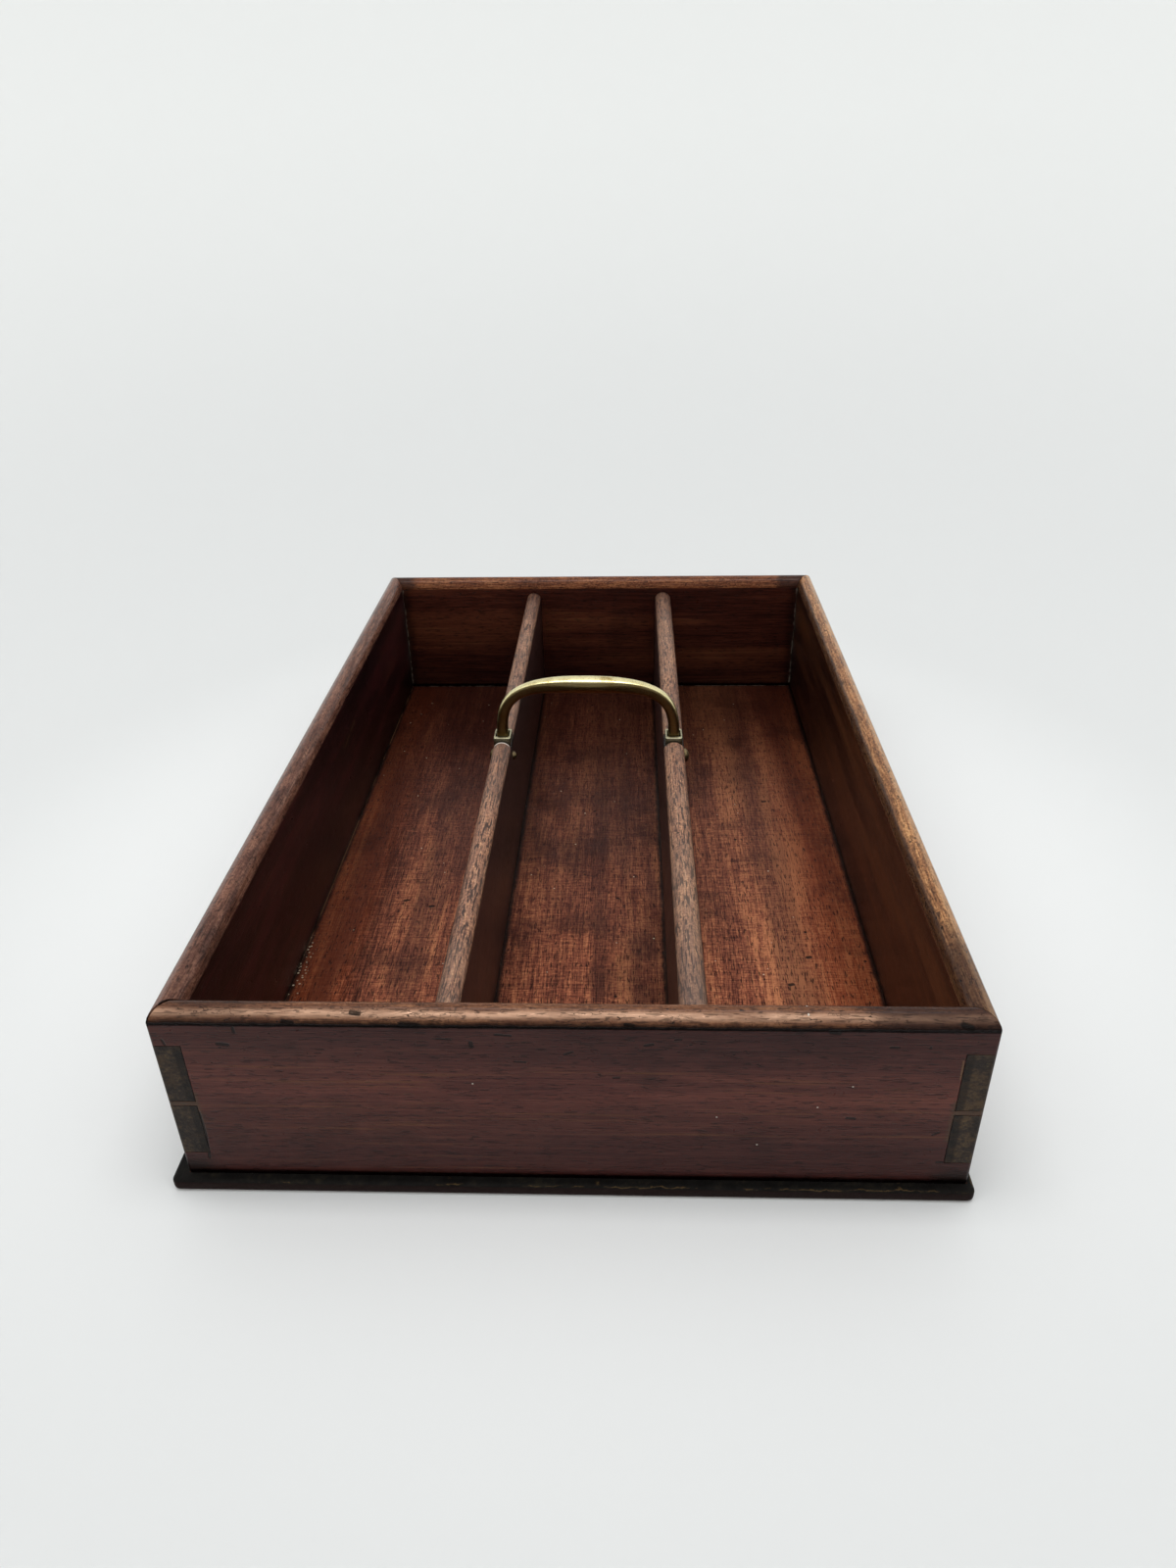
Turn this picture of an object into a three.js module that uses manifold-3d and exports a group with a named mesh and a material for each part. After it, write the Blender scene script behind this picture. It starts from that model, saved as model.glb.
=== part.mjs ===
// Open cutlery box of dark mahogany. Four walls are dovetailed together under a mitred bullnose
// rim and stand on a thin base board that oversails them. Two round-topped dividers sit in stopped
// housings, and a cast brass bail with a swelled grip stands in collars let into the dividers,
// held by a cross rivet through each tang.
// Millimetres. +X points right, +Y points away from the front, +Z points up. The origin is at the
// middle of the underside.

import * as THREE from 'three';
import { mergeVertices } from 'three/addons/utils/BufferGeometryUtils.js';
import Module from 'manifold-3d';

const wasm = await Module();
wasm.setup();

// Walls, measured over the outside
const TRAY_WIDTH = 255;
const TRAY_LENGTH = 386.5;
const WALL_HEIGHT = 69.9;
const WALL_THICKNESS = 9;
const RIM_HEIGHT = 6; // rounded rim, a little taller than half round
const CORNER_RADIUS = 1.3; // wear on the upright corners

// Base board
const BASE_THICKNESS = 4.7;
const BASE_OVERHANG = 3.5;
const BASE_EDGE_RADIUS = 1.4;
const BASE_CORNER_RADIUS = 2.4;
const WALLS_OFF_CENTRE = 1.5; // the walls stand this far to the right of the base board's middle

// Dovetailed corners, heights taken at the face of the front wall from the base board upwards
const FOOT_PIN_HEIGHT = 9.8;
const LOWER_TAIL_HEIGHT = 21.2;
const PIN_HEIGHT = 2.1;
const UPPER_TAIL_HEIGHT = 23.4;
const TAIL_SLOPE = 1 / 8;
const JOINT_GAP = 0.2;
const OPEN_MITRE_GAP = 0.9; // the mitre at the left front has opened

// Dividers and their housings
const SIDE_COMPARTMENT_WIDTH = 75.4;
const LEFT_DIVIDER_THICKNESS = 8.2;
const RIGHT_DIVIDER_THICKNESS = 9.4;
const DIVIDER_HEIGHT = 61.3;
const HOUSING_DEPTH = 3;

// Brass collars in the divider tops
const COLLAR_WIDTH = 7.6;
const COLLAR_LENGTH = 9.4;
const COLLAR_HEIGHT = 4;
const COLLAR_BEVEL = 0.35;
const NOTCH_DEPTH = 2.6;
const NOTCH_SLACK = 1.2; // free length at each end of the collar

// Handle: legs and tangs are measured across the tray (width) and along it (depth)
const GRIP_RISE = 25.6; // from the divider tops to the middle of the grip
const BAIL_SQUARENESS = 3.5;
const BAIL_LEAN = 0.012;
const GRIP_HEIGHT = 7.7;
const GRIP_DEPTH = 8.2;
const SWELL_HALF_LENGTH = 32;
const LEG_WIDTH = 5;
const LEG_DEPTH = 5;
const FOOT_WIDTH = 5.6;
const FOOT_DEPTH = 5.6;
const FOOT_FLARE_HEIGHT = 9;
const TANG_WIDTH = 3.2;
const TANG_DEPTH = 5;
const TANG_LENGTH = 15;

// Cross rivets through the tangs
const RIVET_DROP = 10; // below the divider top
const RIVET_DIAMETER = 2.6;
const RIVET_HEAD_DIAMETER = 6.8;
const RIVET_HEAD_HEIGHT = 2.5;
const RIVET_TAIL_DIAMETER = 3.8;
const LEFT_RIVET_TAIL_HEIGHT = 1.7; // the left rivet is burred over proud, the right one is flush

// Cut nails that hold the base board, driven up from below
const NAIL_LENGTH = 19;
const NAIL_SHANK_DIAMETER = 1.9;
const NAIL_TIP_DIAMETER = 0.9;
const NAIL_HEAD_DIAMETER = 3.8;
const NAIL_HEAD_THICKNESS = 0.8;
const NAIL_SUNK = 0.4; // how far the heads are punched below the underside
const NAILS_PER_SIDE = 4;
const NAILS_PER_END = 3;
const NAILS_PER_DIVIDER = 2;
const NAIL_END_MARGIN = 24;

const FIT_GAP = 0.3; // clearance where brass or iron passes through wood or brass
const CUT_MARGIN = 1; // how far a cutting tool runs past the surface that it opens

// Places that follow from the sizes above
const INNER_WIDTH = TRAY_WIDTH - 2 * WALL_THICKNESS;
const INNER_LENGTH = TRAY_LENGTH - 2 * WALL_THICKNESS;
const LEFT_FACE = WALLS_OFF_CENTRE - TRAY_WIDTH / 2;
const RIGHT_FACE = WALLS_OFF_CENTRE + TRAY_WIDTH / 2;
const FRONT_FACE = -TRAY_LENGTH / 2;
const BACK_FACE = TRAY_LENGTH / 2;
const FLOOR = BASE_THICKNESS;
const RIM_TOP = FLOOR + WALL_HEIGHT;
const RIM_FOOT = RIM_TOP - RIM_HEIGHT;
const DIVIDER_TOP = FLOOR + DIVIDER_HEIGHT;
const NOTCH_FLOOR = DIVIDER_TOP - NOTCH_DEPTH;
const RIVET_LEVEL = DIVIDER_TOP - RIVET_DROP;
const LEFT_DIVIDER_X = LEFT_FACE + WALL_THICKNESS + SIDE_COMPARTMENT_WIDTH + LEFT_DIVIDER_THICKNESS / 2;
const RIGHT_DIVIDER_X = RIGHT_FACE - WALL_THICKNESS - SIDE_COMPARTMENT_WIDTH - RIGHT_DIVIDER_THICKNESS / 2;

const LEFT = {
  name: 'left',
  outward: -1,
  x: LEFT_DIVIDER_X,
  thickness: LEFT_DIVIDER_THICKNESS,
  tailHeight: LEFT_RIVET_TAIL_HEIGHT,
};
const RIGHT = {
  name: 'right',
  outward: 1,
  x: RIGHT_DIVIDER_X,
  thickness: RIGHT_DIVIDER_THICKNESS,
  tailHeight: 0,
};
const DIVIDERS = [LEFT, RIGHT];

const CORNERS = [
  { side: -1, end: -1, mitreGap: OPEN_MITRE_GAP },
  { side: 1, end: -1, mitreGap: JOINT_GAP },
  { side: -1, end: 1, mitreGap: JOINT_GAP },
  { side: 1, end: 1, mitreGap: JOINT_GAP },
];

const BAIL_STEPS = 44;
const RING_POINTS = 20;
const ARC_STEPS = 6;

// Turns a closed three.js geometry into a solid that can be joined and cut.
function solidFrom(geometry) {
  const bare = geometry.clone();
  bare.deleteAttribute('normal');
  bare.deleteAttribute('uv');
  const merged = mergeVertices(bare);
  const vertProperties = Float32Array.from(merged.attributes.position.array);
  const triVerts = Uint32Array.from(merged.index.array);
  return new wasm.Manifold(new wasm.Mesh({ numProp: 3, vertProperties, triVerts }));
}

// Turns a solid back into a three.js geometry.
function geometryFrom(solid) {
  const mesh = solid.getMesh();
  const geometry = new THREE.BufferGeometry();
  geometry.setAttribute('position', new THREE.BufferAttribute(mesh.vertProperties, 3));
  geometry.setIndex(new THREE.BufferAttribute(mesh.triVerts, 1));
  geometry.computeVertexNormals();
  return geometry;
}

function boxBetween(x0, x1, y0, y1, z0, z1) {
  const geometry = new THREE.BoxGeometry(x1 - x0, y1 - y0, z1 - z0);
  geometry.translate((x0 + x1) / 2, (y0 + y1) / 2, (z0 + z1) / 2);
  return geometry;
}

// Extrudes a shape drawn in X and Z along Y.
function extrudeAlongY(shape, y0, y1) {
  const geometry = new THREE.ExtrudeGeometry(shape, {
    depth: y1 - y0,
    bevelEnabled: false,
    curveSegments: ARC_STEPS,
  });
  geometry.rotateX(Math.PI / 2);
  geometry.translate(0, y1, 0);
  return geometry;
}

// Extrudes a shape drawn in Y and Z along X.
function extrudeAlongX(shape, x0, x1) {
  const geometry = extrudeAlongY(shape, -x1, -x0);
  geometry.rotateZ(Math.PI / 2);
  return geometry;
}

// Extrudes a shape drawn in X and Y along Z.
function extrudeAlongZ(shape, z0, z1) {
  const geometry = new THREE.ExtrudeGeometry(shape, {
    depth: z1 - z0,
    bevelEnabled: false,
    curveSegments: ARC_STEPS,
  });
  geometry.translate(0, 0, z0);
  return geometry;
}

function shapeThrough(points) {
  return new THREE.Shape(points.map(([a, b]) => new THREE.Vector2(a, b)));
}

// Section of a board with a fully rounded top edge, half an ellipse of the given height.
function roundToppedSection(a0, a1, z0, z1, crown) {
  const shape = new THREE.Shape();
  shape.moveTo(a0, z0);
  shape.lineTo(a1, z0);
  shape.lineTo(a1, z1 - crown);
  shape.absellipse((a0 + a1) / 2, z1 - crown, (a1 - a0) / 2, crown, 0, Math.PI, false, 0);
  shape.closePath();
  return shape;
}

function roundedRectangle(halfX, halfY, radius) {
  const shape = new THREE.Shape();
  shape.moveTo(-halfX + radius, -halfY);
  shape.lineTo(halfX - radius, -halfY);
  shape.absarc(halfX - radius, -halfY + radius, radius, -Math.PI / 2, 0, false);
  shape.lineTo(halfX, halfY - radius);
  shape.absarc(halfX - radius, halfY - radius, radius, 0, Math.PI / 2, false);
  shape.lineTo(-halfX + radius, halfY);
  shape.absarc(-halfX + radius, halfY - radius, radius, Math.PI / 2, Math.PI, false);
  shape.lineTo(-halfX, -halfY + radius);
  shape.absarc(-halfX + radius, -halfY + radius, radius, Math.PI, Math.PI * 1.5, false);
  return shape;
}

function woodMaterial(color) {
  return new THREE.MeshStandardMaterial({ color, roughness: 0.45, metalness: 0 });
}

function brassMaterial(color, roughness) {
  return new THREE.MeshStandardMaterial({ color, roughness, metalness: 1 });
}

const wallWood = woodMaterial(0x3c2420);
const floorWood = woodMaterial(0x55281c);
const dividerWood = woodMaterial(0x7d6458);
const handleBrass = brassMaterial(0xb8a260, 0.3);
const collarBrass = brassMaterial(0x9a9468, 0.5);
const nailIron = new THREE.MeshStandardMaterial({ color: 0x3a3430, roughness: 0.7, metalness: 0.8 });

const box = new THREE.Group();

function addPiece(name, geometry, material) {
  const mesh = new THREE.Mesh(geometry, material);
  mesh.name = name;
  box.add(mesh);
  return mesh;
}

// A point near a corner, by its distance in from the side face and in from the end face.
function cornerPoint(corner, fromSide, fromEnd) {
  const x = corner.side < 0 ? LEFT_FACE + fromSide : RIGHT_FACE - fromSide;
  const y = corner.end < 0 ? FRONT_FACE + fromEnd : BACK_FACE - fromEnd;
  return [x, y];
}

// Cutter that takes a wall's rim away beyond the mitre, and half of the mitre's gap with it.
function mitreCutter(corner, forSideWall) {
  const setBack = corner.mitreGap / Math.SQRT2;
  const near = -CUT_MARGIN;
  const far = WALL_THICKNESS + CUT_MARGIN;
  const triangle = [
    [near, near + setBack],
    [far, far + setBack],
    [far, near + setBack],
  ];
  const outline = triangle.map(([across, along]) => {
    return forSideWall ? cornerPoint(corner, across, along) : cornerPoint(corner, along, across);
  });
  return solidFrom(extrudeAlongZ(shapeThrough(outline), RIM_FOOT, RIM_TOP + CUT_MARGIN));
}

// The two tails at one end of a side wall: as cut, or grown by a gap as the sockets for them.
function tailSolids(corner, gap) {
  const lowerFoot = FLOOR + FOOT_PIN_HEIGHT;
  const upperFoot = lowerFoot + LOWER_TAIL_HEIGHT + PIN_HEIGHT;
  const spans = [
    [lowerFoot, lowerFoot + LOWER_TAIL_HEIGHT],
    [upperFoot, upperFoot + UPPER_TAIL_HEIGHT],
  ];
  const margin = gap > 0 ? CUT_MARGIN : 0;
  const narrowing = (depth) => depth * TAIL_SLOPE;
  const sideX = corner.side < 0 ? LEFT_FACE : RIGHT_FACE;
  const outerX = sideX + corner.side * margin;
  const innerX = sideX - corner.side * (WALL_THICKNESS + gap);
  const atEnd = cornerPoint(corner, 0, -margin)[1];
  const atShoulder = cornerPoint(corner, 0, WALL_THICKNESS + margin)[1];
  return spans.map(([foot, head]) => {
    const outline = shapeThrough([
      [atEnd, foot - gap + narrowing(-margin)],
      [atShoulder, foot - gap + narrowing(WALL_THICKNESS + margin)],
      [atShoulder, head + gap - narrowing(WALL_THICKNESS + margin)],
      [atEnd, head + gap - narrowing(-margin)],
    ]);
    return solidFrom(extrudeAlongX(outline, Math.min(outerX, innerX), Math.max(outerX, innerX)));
  });
}

// Everything but the tails, below the rim, that is sawn from the end of a side wall.
function tailWaste(corner) {
  const [xa, ya] = cornerPoint(corner, -CUT_MARGIN, -CUT_MARGIN);
  const [xb, yb] = cornerPoint(corner, WALL_THICKNESS + CUT_MARGIN, WALL_THICKNESS);
  const [x0, x1] = [Math.min(xa, xb), Math.max(xa, xb)];
  const [y0, y1] = [Math.min(ya, yb), Math.max(ya, yb)];
  const block = solidFrom(boxBetween(x0, x1, y0, y1, FLOOR - CUT_MARGIN, RIM_FOOT));
  return subtractAll(block, tailSolids(corner, 0));
}

// Cut nail with its head down, its underside punched in, at a place on the underside.
function nailGeometry(x, y, gap) {
  const head = NAIL_SUNK + NAIL_HEAD_THICKNESS;
  const bottom = gap > 0 ? -CUT_MARGIN : NAIL_SUNK;
  const profile = [
    [0, bottom],
    [NAIL_HEAD_DIAMETER / 2 + gap, bottom],
    [NAIL_HEAD_DIAMETER / 2 + gap, head + gap],
    [NAIL_SHANK_DIAMETER / 2 + gap, head + gap],
    [NAIL_TIP_DIAMETER / 2 + gap, NAIL_SUNK + NAIL_LENGTH + gap],
    [0, NAIL_SUNK + NAIL_LENGTH + gap],
  ];
  const geometry = new THREE.LatheGeometry(profile.map(([r, h]) => new THREE.Vector2(r, h)), 8);
  geometry.rotateX(Math.PI / 2);
  geometry.translate(x, y, 0);
  return geometry;
}

// Evenly spaced places along a run, first and last at the ends.
function spacedBetween(first, last, count) {
  return Array.from({ length: count }, (_, i) => first + ((last - first) * i) / (count - 1));
}

function nailPlaces() {
  const places = [];
  const sideRun = spacedBetween(FRONT_FACE + NAIL_END_MARGIN, BACK_FACE - NAIL_END_MARGIN, NAILS_PER_SIDE);
  const endRun = spacedBetween(LEFT_FACE + NAIL_END_MARGIN, RIGHT_FACE - NAIL_END_MARGIN, NAILS_PER_END + 2);
  for (const y of sideRun) {
    places.push([LEFT_FACE + WALL_THICKNESS / 2, y], [RIGHT_FACE - WALL_THICKNESS / 2, y]);
  }
  for (const x of endRun.filter((_, i) => i % 2 === 0)) {
    places.push([x, FRONT_FACE + WALL_THICKNESS / 2], [x, BACK_FACE - WALL_THICKNESS / 2]);
  }
  for (const divider of DIVIDERS) {
    for (const y of spacedBetween(-INNER_LENGTH / 4, INNER_LENGTH / 4, NAILS_PER_DIVIDER)) {
      places.push([divider.x, y]);
    }
  }
  return places;
}

const NAIL_PLACES = nailPlaces();

// The nail holes that reach a given piece of wood between two X and two Y limits.
function nailHolesWithin(x0, x1, y0, y1) {
  return NAIL_PLACES
    .filter(([x, y]) => x > x0 && x < x1 && y > y0 && y < y1)
    .map(([x, y]) => solidFrom(nailGeometry(x, y, FIT_GAP)));
}

function subtractAll(solid, cutters) {
  return cutters.reduce((left, cutter) => left.subtract(cutter), solid);
}

function baseBoard() {
  const halfWidth = TRAY_WIDTH / 2 + BASE_OVERHANG;
  const halfLength = TRAY_LENGTH / 2 + BASE_OVERHANG;
  const inset = BASE_EDGE_RADIUS;
  const outline = roundedRectangle(halfWidth - inset, halfLength - inset, BASE_CORNER_RADIUS - inset);
  const geometry = new THREE.ExtrudeGeometry(outline, {
    depth: BASE_THICKNESS - 2 * BASE_EDGE_RADIUS,
    bevelEnabled: true,
    bevelThickness: BASE_EDGE_RADIUS,
    bevelSize: BASE_EDGE_RADIUS,
    bevelSegments: 4,
    curveSegments: ARC_STEPS,
  });
  geometry.translate(0, 0, BASE_EDGE_RADIUS);
  const holes = nailHolesWithin(-halfWidth, halfWidth, -halfLength, halfLength);
  return geometryFrom(subtractAll(solidFrom(geometry), holes));
}

// The walls' plan with its worn corners, as a block that every wall is trimmed by.
function wallPlan() {
  const outline = roundedRectangle(TRAY_WIDTH / 2, TRAY_LENGTH / 2, CORNER_RADIUS);
  const geometry = extrudeAlongZ(outline, FLOOR - CUT_MARGIN, RIM_TOP + CUT_MARGIN);
  geometry.translate(WALLS_OFF_CENTRE, 0, 0);
  return solidFrom(geometry);
}

// The housing in the front and back walls that takes the end of a divider, rounded like its top.
function housingCutter(divider) {
  const half = divider.thickness / 2 + JOINT_GAP;
  const [x0, x1] = [divider.x - half, divider.x + half];
  const section = roundToppedSection(x0, x1, FLOOR - CUT_MARGIN, DIVIDER_TOP + JOINT_GAP, half);
  const reach = INNER_LENGTH / 2 + HOUSING_DEPTH;
  return solidFrom(extrudeAlongY(section, -reach, reach));
}

function endWall(end) {
  const outer = end < 0 ? FRONT_FACE : BACK_FACE;
  const inner = outer - end * WALL_THICKNESS;
  const y0 = Math.min(outer, inner);
  const y1 = Math.max(outer, inner);
  const section = roundToppedSection(y0, y1, FLOOR, RIM_TOP, RIM_HEIGHT);
  const blank = solidFrom(extrudeAlongX(section, LEFT_FACE, RIGHT_FACE)).intersect(wallPlan());
  const corners = CORNERS.filter((corner) => corner.end === end);
  const cutters = [
    ...corners.flatMap((corner) => tailSolids(corner, JOINT_GAP)),
    ...corners.map((corner) => mitreCutter(corner, false)),
    ...DIVIDERS.map(housingCutter),
    ...nailHolesWithin(LEFT_FACE + WALL_THICKNESS, RIGHT_FACE - WALL_THICKNESS, y0, y1),
  ];
  return geometryFrom(subtractAll(blank, cutters));
}

function sideWall(side) {
  const outer = side < 0 ? LEFT_FACE : RIGHT_FACE;
  const inner = outer - side * WALL_THICKNESS;
  const x0 = Math.min(outer, inner);
  const x1 = Math.max(outer, inner);
  const section = roundToppedSection(x0, x1, FLOOR, RIM_TOP, RIM_HEIGHT);
  const blank = solidFrom(extrudeAlongY(section, FRONT_FACE, BACK_FACE)).intersect(wallPlan());
  const corners = CORNERS.filter((corner) => corner.side === side);
  const cutters = [
    ...corners.map(tailWaste),
    ...corners.map((corner) => mitreCutter(corner, true)),
    ...nailHolesWithin(x0, x1, FRONT_FACE, BACK_FACE),
  ];
  return geometryFrom(subtractAll(blank, cutters));
}

function dividerBoard(divider) {
  const half = divider.thickness / 2;
  const x0 = divider.x - half;
  const x1 = divider.x + half;
  const reach = INNER_LENGTH / 2 + HOUSING_DEPTH - JOINT_GAP;
  const section = roundToppedSection(x0, x1, FLOOR, DIVIDER_TOP, half);
  const blank = solidFrom(extrudeAlongY(section, -reach, reach));
  const notchReach = COLLAR_LENGTH / 2 + NOTCH_SLACK;
  const notch = boxBetween(
    x0 - CUT_MARGIN, x1 + CUT_MARGIN, -notchReach, notchReach, NOTCH_FLOOR, DIVIDER_TOP + CUT_MARGIN,
  );
  const tangHalfWidth = TANG_WIDTH / 2 + FIT_GAP;
  const tangHalfDepth = TANG_DEPTH / 2 + FIT_GAP;
  const mortise = boxBetween(
    divider.x - tangHalfWidth, divider.x + tangHalfWidth, -tangHalfDepth, tangHalfDepth,
    NOTCH_FLOOR - TANG_LENGTH - FIT_GAP, DIVIDER_TOP + CUT_MARGIN,
  );
  const bore = crossBore(x0 - CUT_MARGIN, x1 + CUT_MARGIN);
  const cutters = [
    solidFrom(notch),
    solidFrom(mortise),
    bore,
    ...nailHolesWithin(x0, x1, -reach, reach),
  ];
  return geometryFrom(subtractAll(blank, cutters));
}

// The bore for a cross rivet, along X at the rivets' level.
function crossBore(x0, x1) {
  const geometry = new THREE.CylinderGeometry(
    RIVET_DIAMETER / 2 + FIT_GAP, RIVET_DIAMETER / 2 + FIT_GAP, x1 - x0, 16,
  );
  geometry.rotateZ(Math.PI / 2);
  geometry.translate((x0 + x1) / 2, 0, RIVET_LEVEL);
  return solidFrom(geometry);
}

// Centre line of the bail: a superellipse from foot to foot, leaning a little to the right.
class BailCurve extends THREE.Curve {
  getPoint(t, target = new THREE.Vector3()) {
    const angle = Math.PI * (1 - t);
    const power = 2 / BAIL_SQUARENESS;
    const across = Math.sign(Math.cos(angle)) * Math.abs(Math.cos(angle)) ** power;
    const up = Math.abs(Math.sin(angle)) ** power;
    const halfSpan = (RIGHT_DIVIDER_X - LEFT_DIVIDER_X) / 2;
    const middle = (RIGHT_DIVIDER_X + LEFT_DIVIDER_X) / 2;
    const x = halfSpan * across;
    const z = NOTCH_FLOOR + (GRIP_RISE + NOTCH_DEPTH) * up - BAIL_LEAN * x * up;
    return target.set(middle + x, 0, z);
  }
}

// Half sizes of the bail's section at a point, and how square it is: a flat-sided foot, a slim leg
// and a round grip.
function bailSection(point) {
  const middle = (RIGHT_DIVIDER_X + LEFT_DIVIDER_X) / 2;
  const fromMiddle = Math.min(Math.abs(point.x - middle) / SWELL_HALF_LENGTH, 1);
  const swell = Math.cos((fromMiddle * Math.PI) / 2) ** 2;
  const flare = Math.max(1 - (point.z - NOTCH_FLOOR) / FOOT_FLARE_HEIGHT, 0) ** 2;
  const width = LEG_WIDTH + (GRIP_HEIGHT - LEG_WIDTH) * swell + (FOOT_WIDTH - LEG_WIDTH) * flare;
  const depth = LEG_DEPTH + (GRIP_DEPTH - LEG_DEPTH) * swell + (FOOT_DEPTH - LEG_DEPTH) * flare;
  return { halfWidth: width / 2, halfDepth: depth / 2, squareness: 4 - 1.8 * swell };
}

// One ring of points round a centre. The outward direction lies in the plane of the bail.
function sectionRing(centre, outward, halfWidth, halfDepth, squareness) {
  const power = 2 / squareness;
  return Array.from({ length: RING_POINTS }, (_, i) => {
    const angle = ((i + 0.5) * 2 * Math.PI) / RING_POINTS;
    const out = Math.sign(Math.cos(angle)) * Math.abs(Math.cos(angle)) ** power * halfWidth;
    const along = Math.sign(Math.sin(angle)) * Math.abs(Math.sin(angle)) ** power * halfDepth;
    return new THREE.Vector3(0, along, 0).add(centre).addScaledVector(outward, out);
  });
}

// Joins rings of points into one closed body with a flat cap at each end.
function loftGeometry(rings) {
  const count = rings[0].length;
  const positions = rings.flat().flatMap((point) => point.toArray());
  const indices = [];
  for (let ring = 0; ring < rings.length - 1; ring += 1) {
    for (let i = 0; i < count; i += 1) {
      const next = (i + 1) % count;
      const a = ring * count + i;
      const b = ring * count + next;
      indices.push(a, b + count, b, a, a + count, b + count);
    }
  }
  const lastRing = (rings.length - 1) * count;
  for (let i = 1; i < count - 1; i += 1) {
    indices.push(0, i, i + 1);
    indices.push(lastRing, lastRing + i + 1, lastRing + i);
  }
  const geometry = new THREE.BufferGeometry();
  geometry.setAttribute('position', new THREE.Float32BufferAttribute(positions, 3));
  geometry.setIndex(indices);
  return geometry;
}

function tangRings(x, outward) {
  const levels = [NOTCH_FLOOR - TANG_LENGTH, NOTCH_FLOOR];
  return levels.map((z) => {
    const centre = new THREE.Vector3(x, 0, z);
    return sectionRing(centre, outward, TANG_WIDTH / 2, TANG_DEPTH / 2, 8);
  });
}

function carryingHandle() {
  const curve = new BailCurve();
  const rings = tangRings(LEFT_DIVIDER_X, new THREE.Vector3(-1, 0, 0));
  for (let i = 0; i <= BAIL_STEPS; i += 1) {
    const centre = curve.getPointAt(i / BAIL_STEPS);
    const tangent = curve.getTangentAt(i / BAIL_STEPS);
    const atFoot = i === 0 || i === BAIL_STEPS;
    const outward = atFoot
      ? new THREE.Vector3(i === 0 ? -1 : 1, 0, 0)
      : new THREE.Vector3(-tangent.z, 0, tangent.x);
    const { halfWidth, halfDepth, squareness } = bailSection(centre);
    rings.push(sectionRing(centre, outward, halfWidth, halfDepth, squareness));
  }
  rings.push(...tangRings(RIGHT_DIVIDER_X, new THREE.Vector3(1, 0, 0)).reverse());
  const handle = solidFrom(loftGeometry(rings));
  const bores = DIVIDERS.map((divider) => crossBore(divider.x - FOOT_WIDTH, divider.x + FOOT_WIDTH));
  return geometryFrom(subtractAll(handle, bores));
}

function handleCollar(divider) {
  const inset = COLLAR_BEVEL;
  const outline = roundedRectangle(COLLAR_WIDTH / 2 - inset, COLLAR_LENGTH / 2 - inset, inset);
  const plate = new THREE.ExtrudeGeometry(outline, {
    depth: COLLAR_HEIGHT - 2 * COLLAR_BEVEL,
    bevelEnabled: true,
    bevelThickness: COLLAR_BEVEL,
    bevelSize: COLLAR_BEVEL,
    bevelSegments: 2,
    curveSegments: 2,
  });
  plate.translate(divider.x, 0, NOTCH_FLOOR + COLLAR_BEVEL);
  const hole = boxBetween(
    divider.x - FOOT_WIDTH / 2 - FIT_GAP, divider.x + FOOT_WIDTH / 2 + FIT_GAP,
    -FOOT_DEPTH / 2 - FIT_GAP, FOOT_DEPTH / 2 + FIT_GAP,
    NOTCH_FLOOR - CUT_MARGIN, NOTCH_FLOOR + COLLAR_HEIGHT + CUT_MARGIN,
  );
  return geometryFrom(solidFrom(plate).subtract(solidFrom(hole)));
}

// Rivet turned about its own axis: burred tail, shank, seat and domed head, then laid along X.
function handleRivet(divider) {
  const shank = RIVET_DIAMETER / 2;
  const seat = divider.thickness / 2;
  const head = RIVET_HEAD_DIAMETER / 2;
  const tail = RIVET_TAIL_DIAMETER / 2;
  const dome = spacedBetween(0, Math.PI / 2, 7).map((angle) => {
    return [head * Math.cos(angle), seat + RIVET_HEAD_HEIGHT * Math.sin(angle)];
  });
  const burr = spacedBetween(-Math.PI / 2, 0, 5).map((angle) => {
    return [tail * Math.cos(angle), -seat + divider.tailHeight * Math.sin(angle)];
  });
  const flushEnd = [[0, -seat + FIT_GAP], [shank, -seat + FIT_GAP]];
  const tailEnd = divider.tailHeight > 0 ? [...burr, [shank, -seat]] : flushEnd;
  const profile = [...tailEnd, [shank, seat], ...dome];
  const geometry = new THREE.LatheGeometry(profile.map(([r, h]) => new THREE.Vector2(r, h)), 20);
  geometry.rotateZ(divider.outward < 0 ? Math.PI / 2 : -Math.PI / 2);
  geometry.translate(divider.x, 0, RIVET_LEVEL);
  return geometryFrom(solidFrom(geometry));
}

addPiece('base_board', baseBoard(), floorWood);
addPiece('front_board', endWall(-1), wallWood);
addPiece('back_board', endWall(1), wallWood);
addPiece('left_side_board', sideWall(-1), wallWood);
addPiece('right_side_board', sideWall(1), wallWood);
for (const divider of DIVIDERS) {
  addPiece(`${divider.name}_divider`, dividerBoard(divider), dividerWood);
  addPiece(`${divider.name}_handle_collar`, handleCollar(divider), collarBrass);
  addPiece(`${divider.name}_handle_rivet`, handleRivet(divider), handleBrass);
}
addPiece('carrying_handle', carryingHandle(), handleBrass);
NAIL_PLACES.forEach(([x, y], i) => {
  addPiece(`base_nail_${i + 1}`, geometryFrom(solidFrom(nailGeometry(x, y, 0))), nailIron);
});

export default box;
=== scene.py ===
# Looks for the cutlery box: old mahogany boards, a cast brass bail and a plain pale ground.
# The scene is in metres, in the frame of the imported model. Named sizes of the box are in millimetres.

import math
from bisect import bisect_left

import bpy
from mathutils import Matrix, Vector, noise


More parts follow.
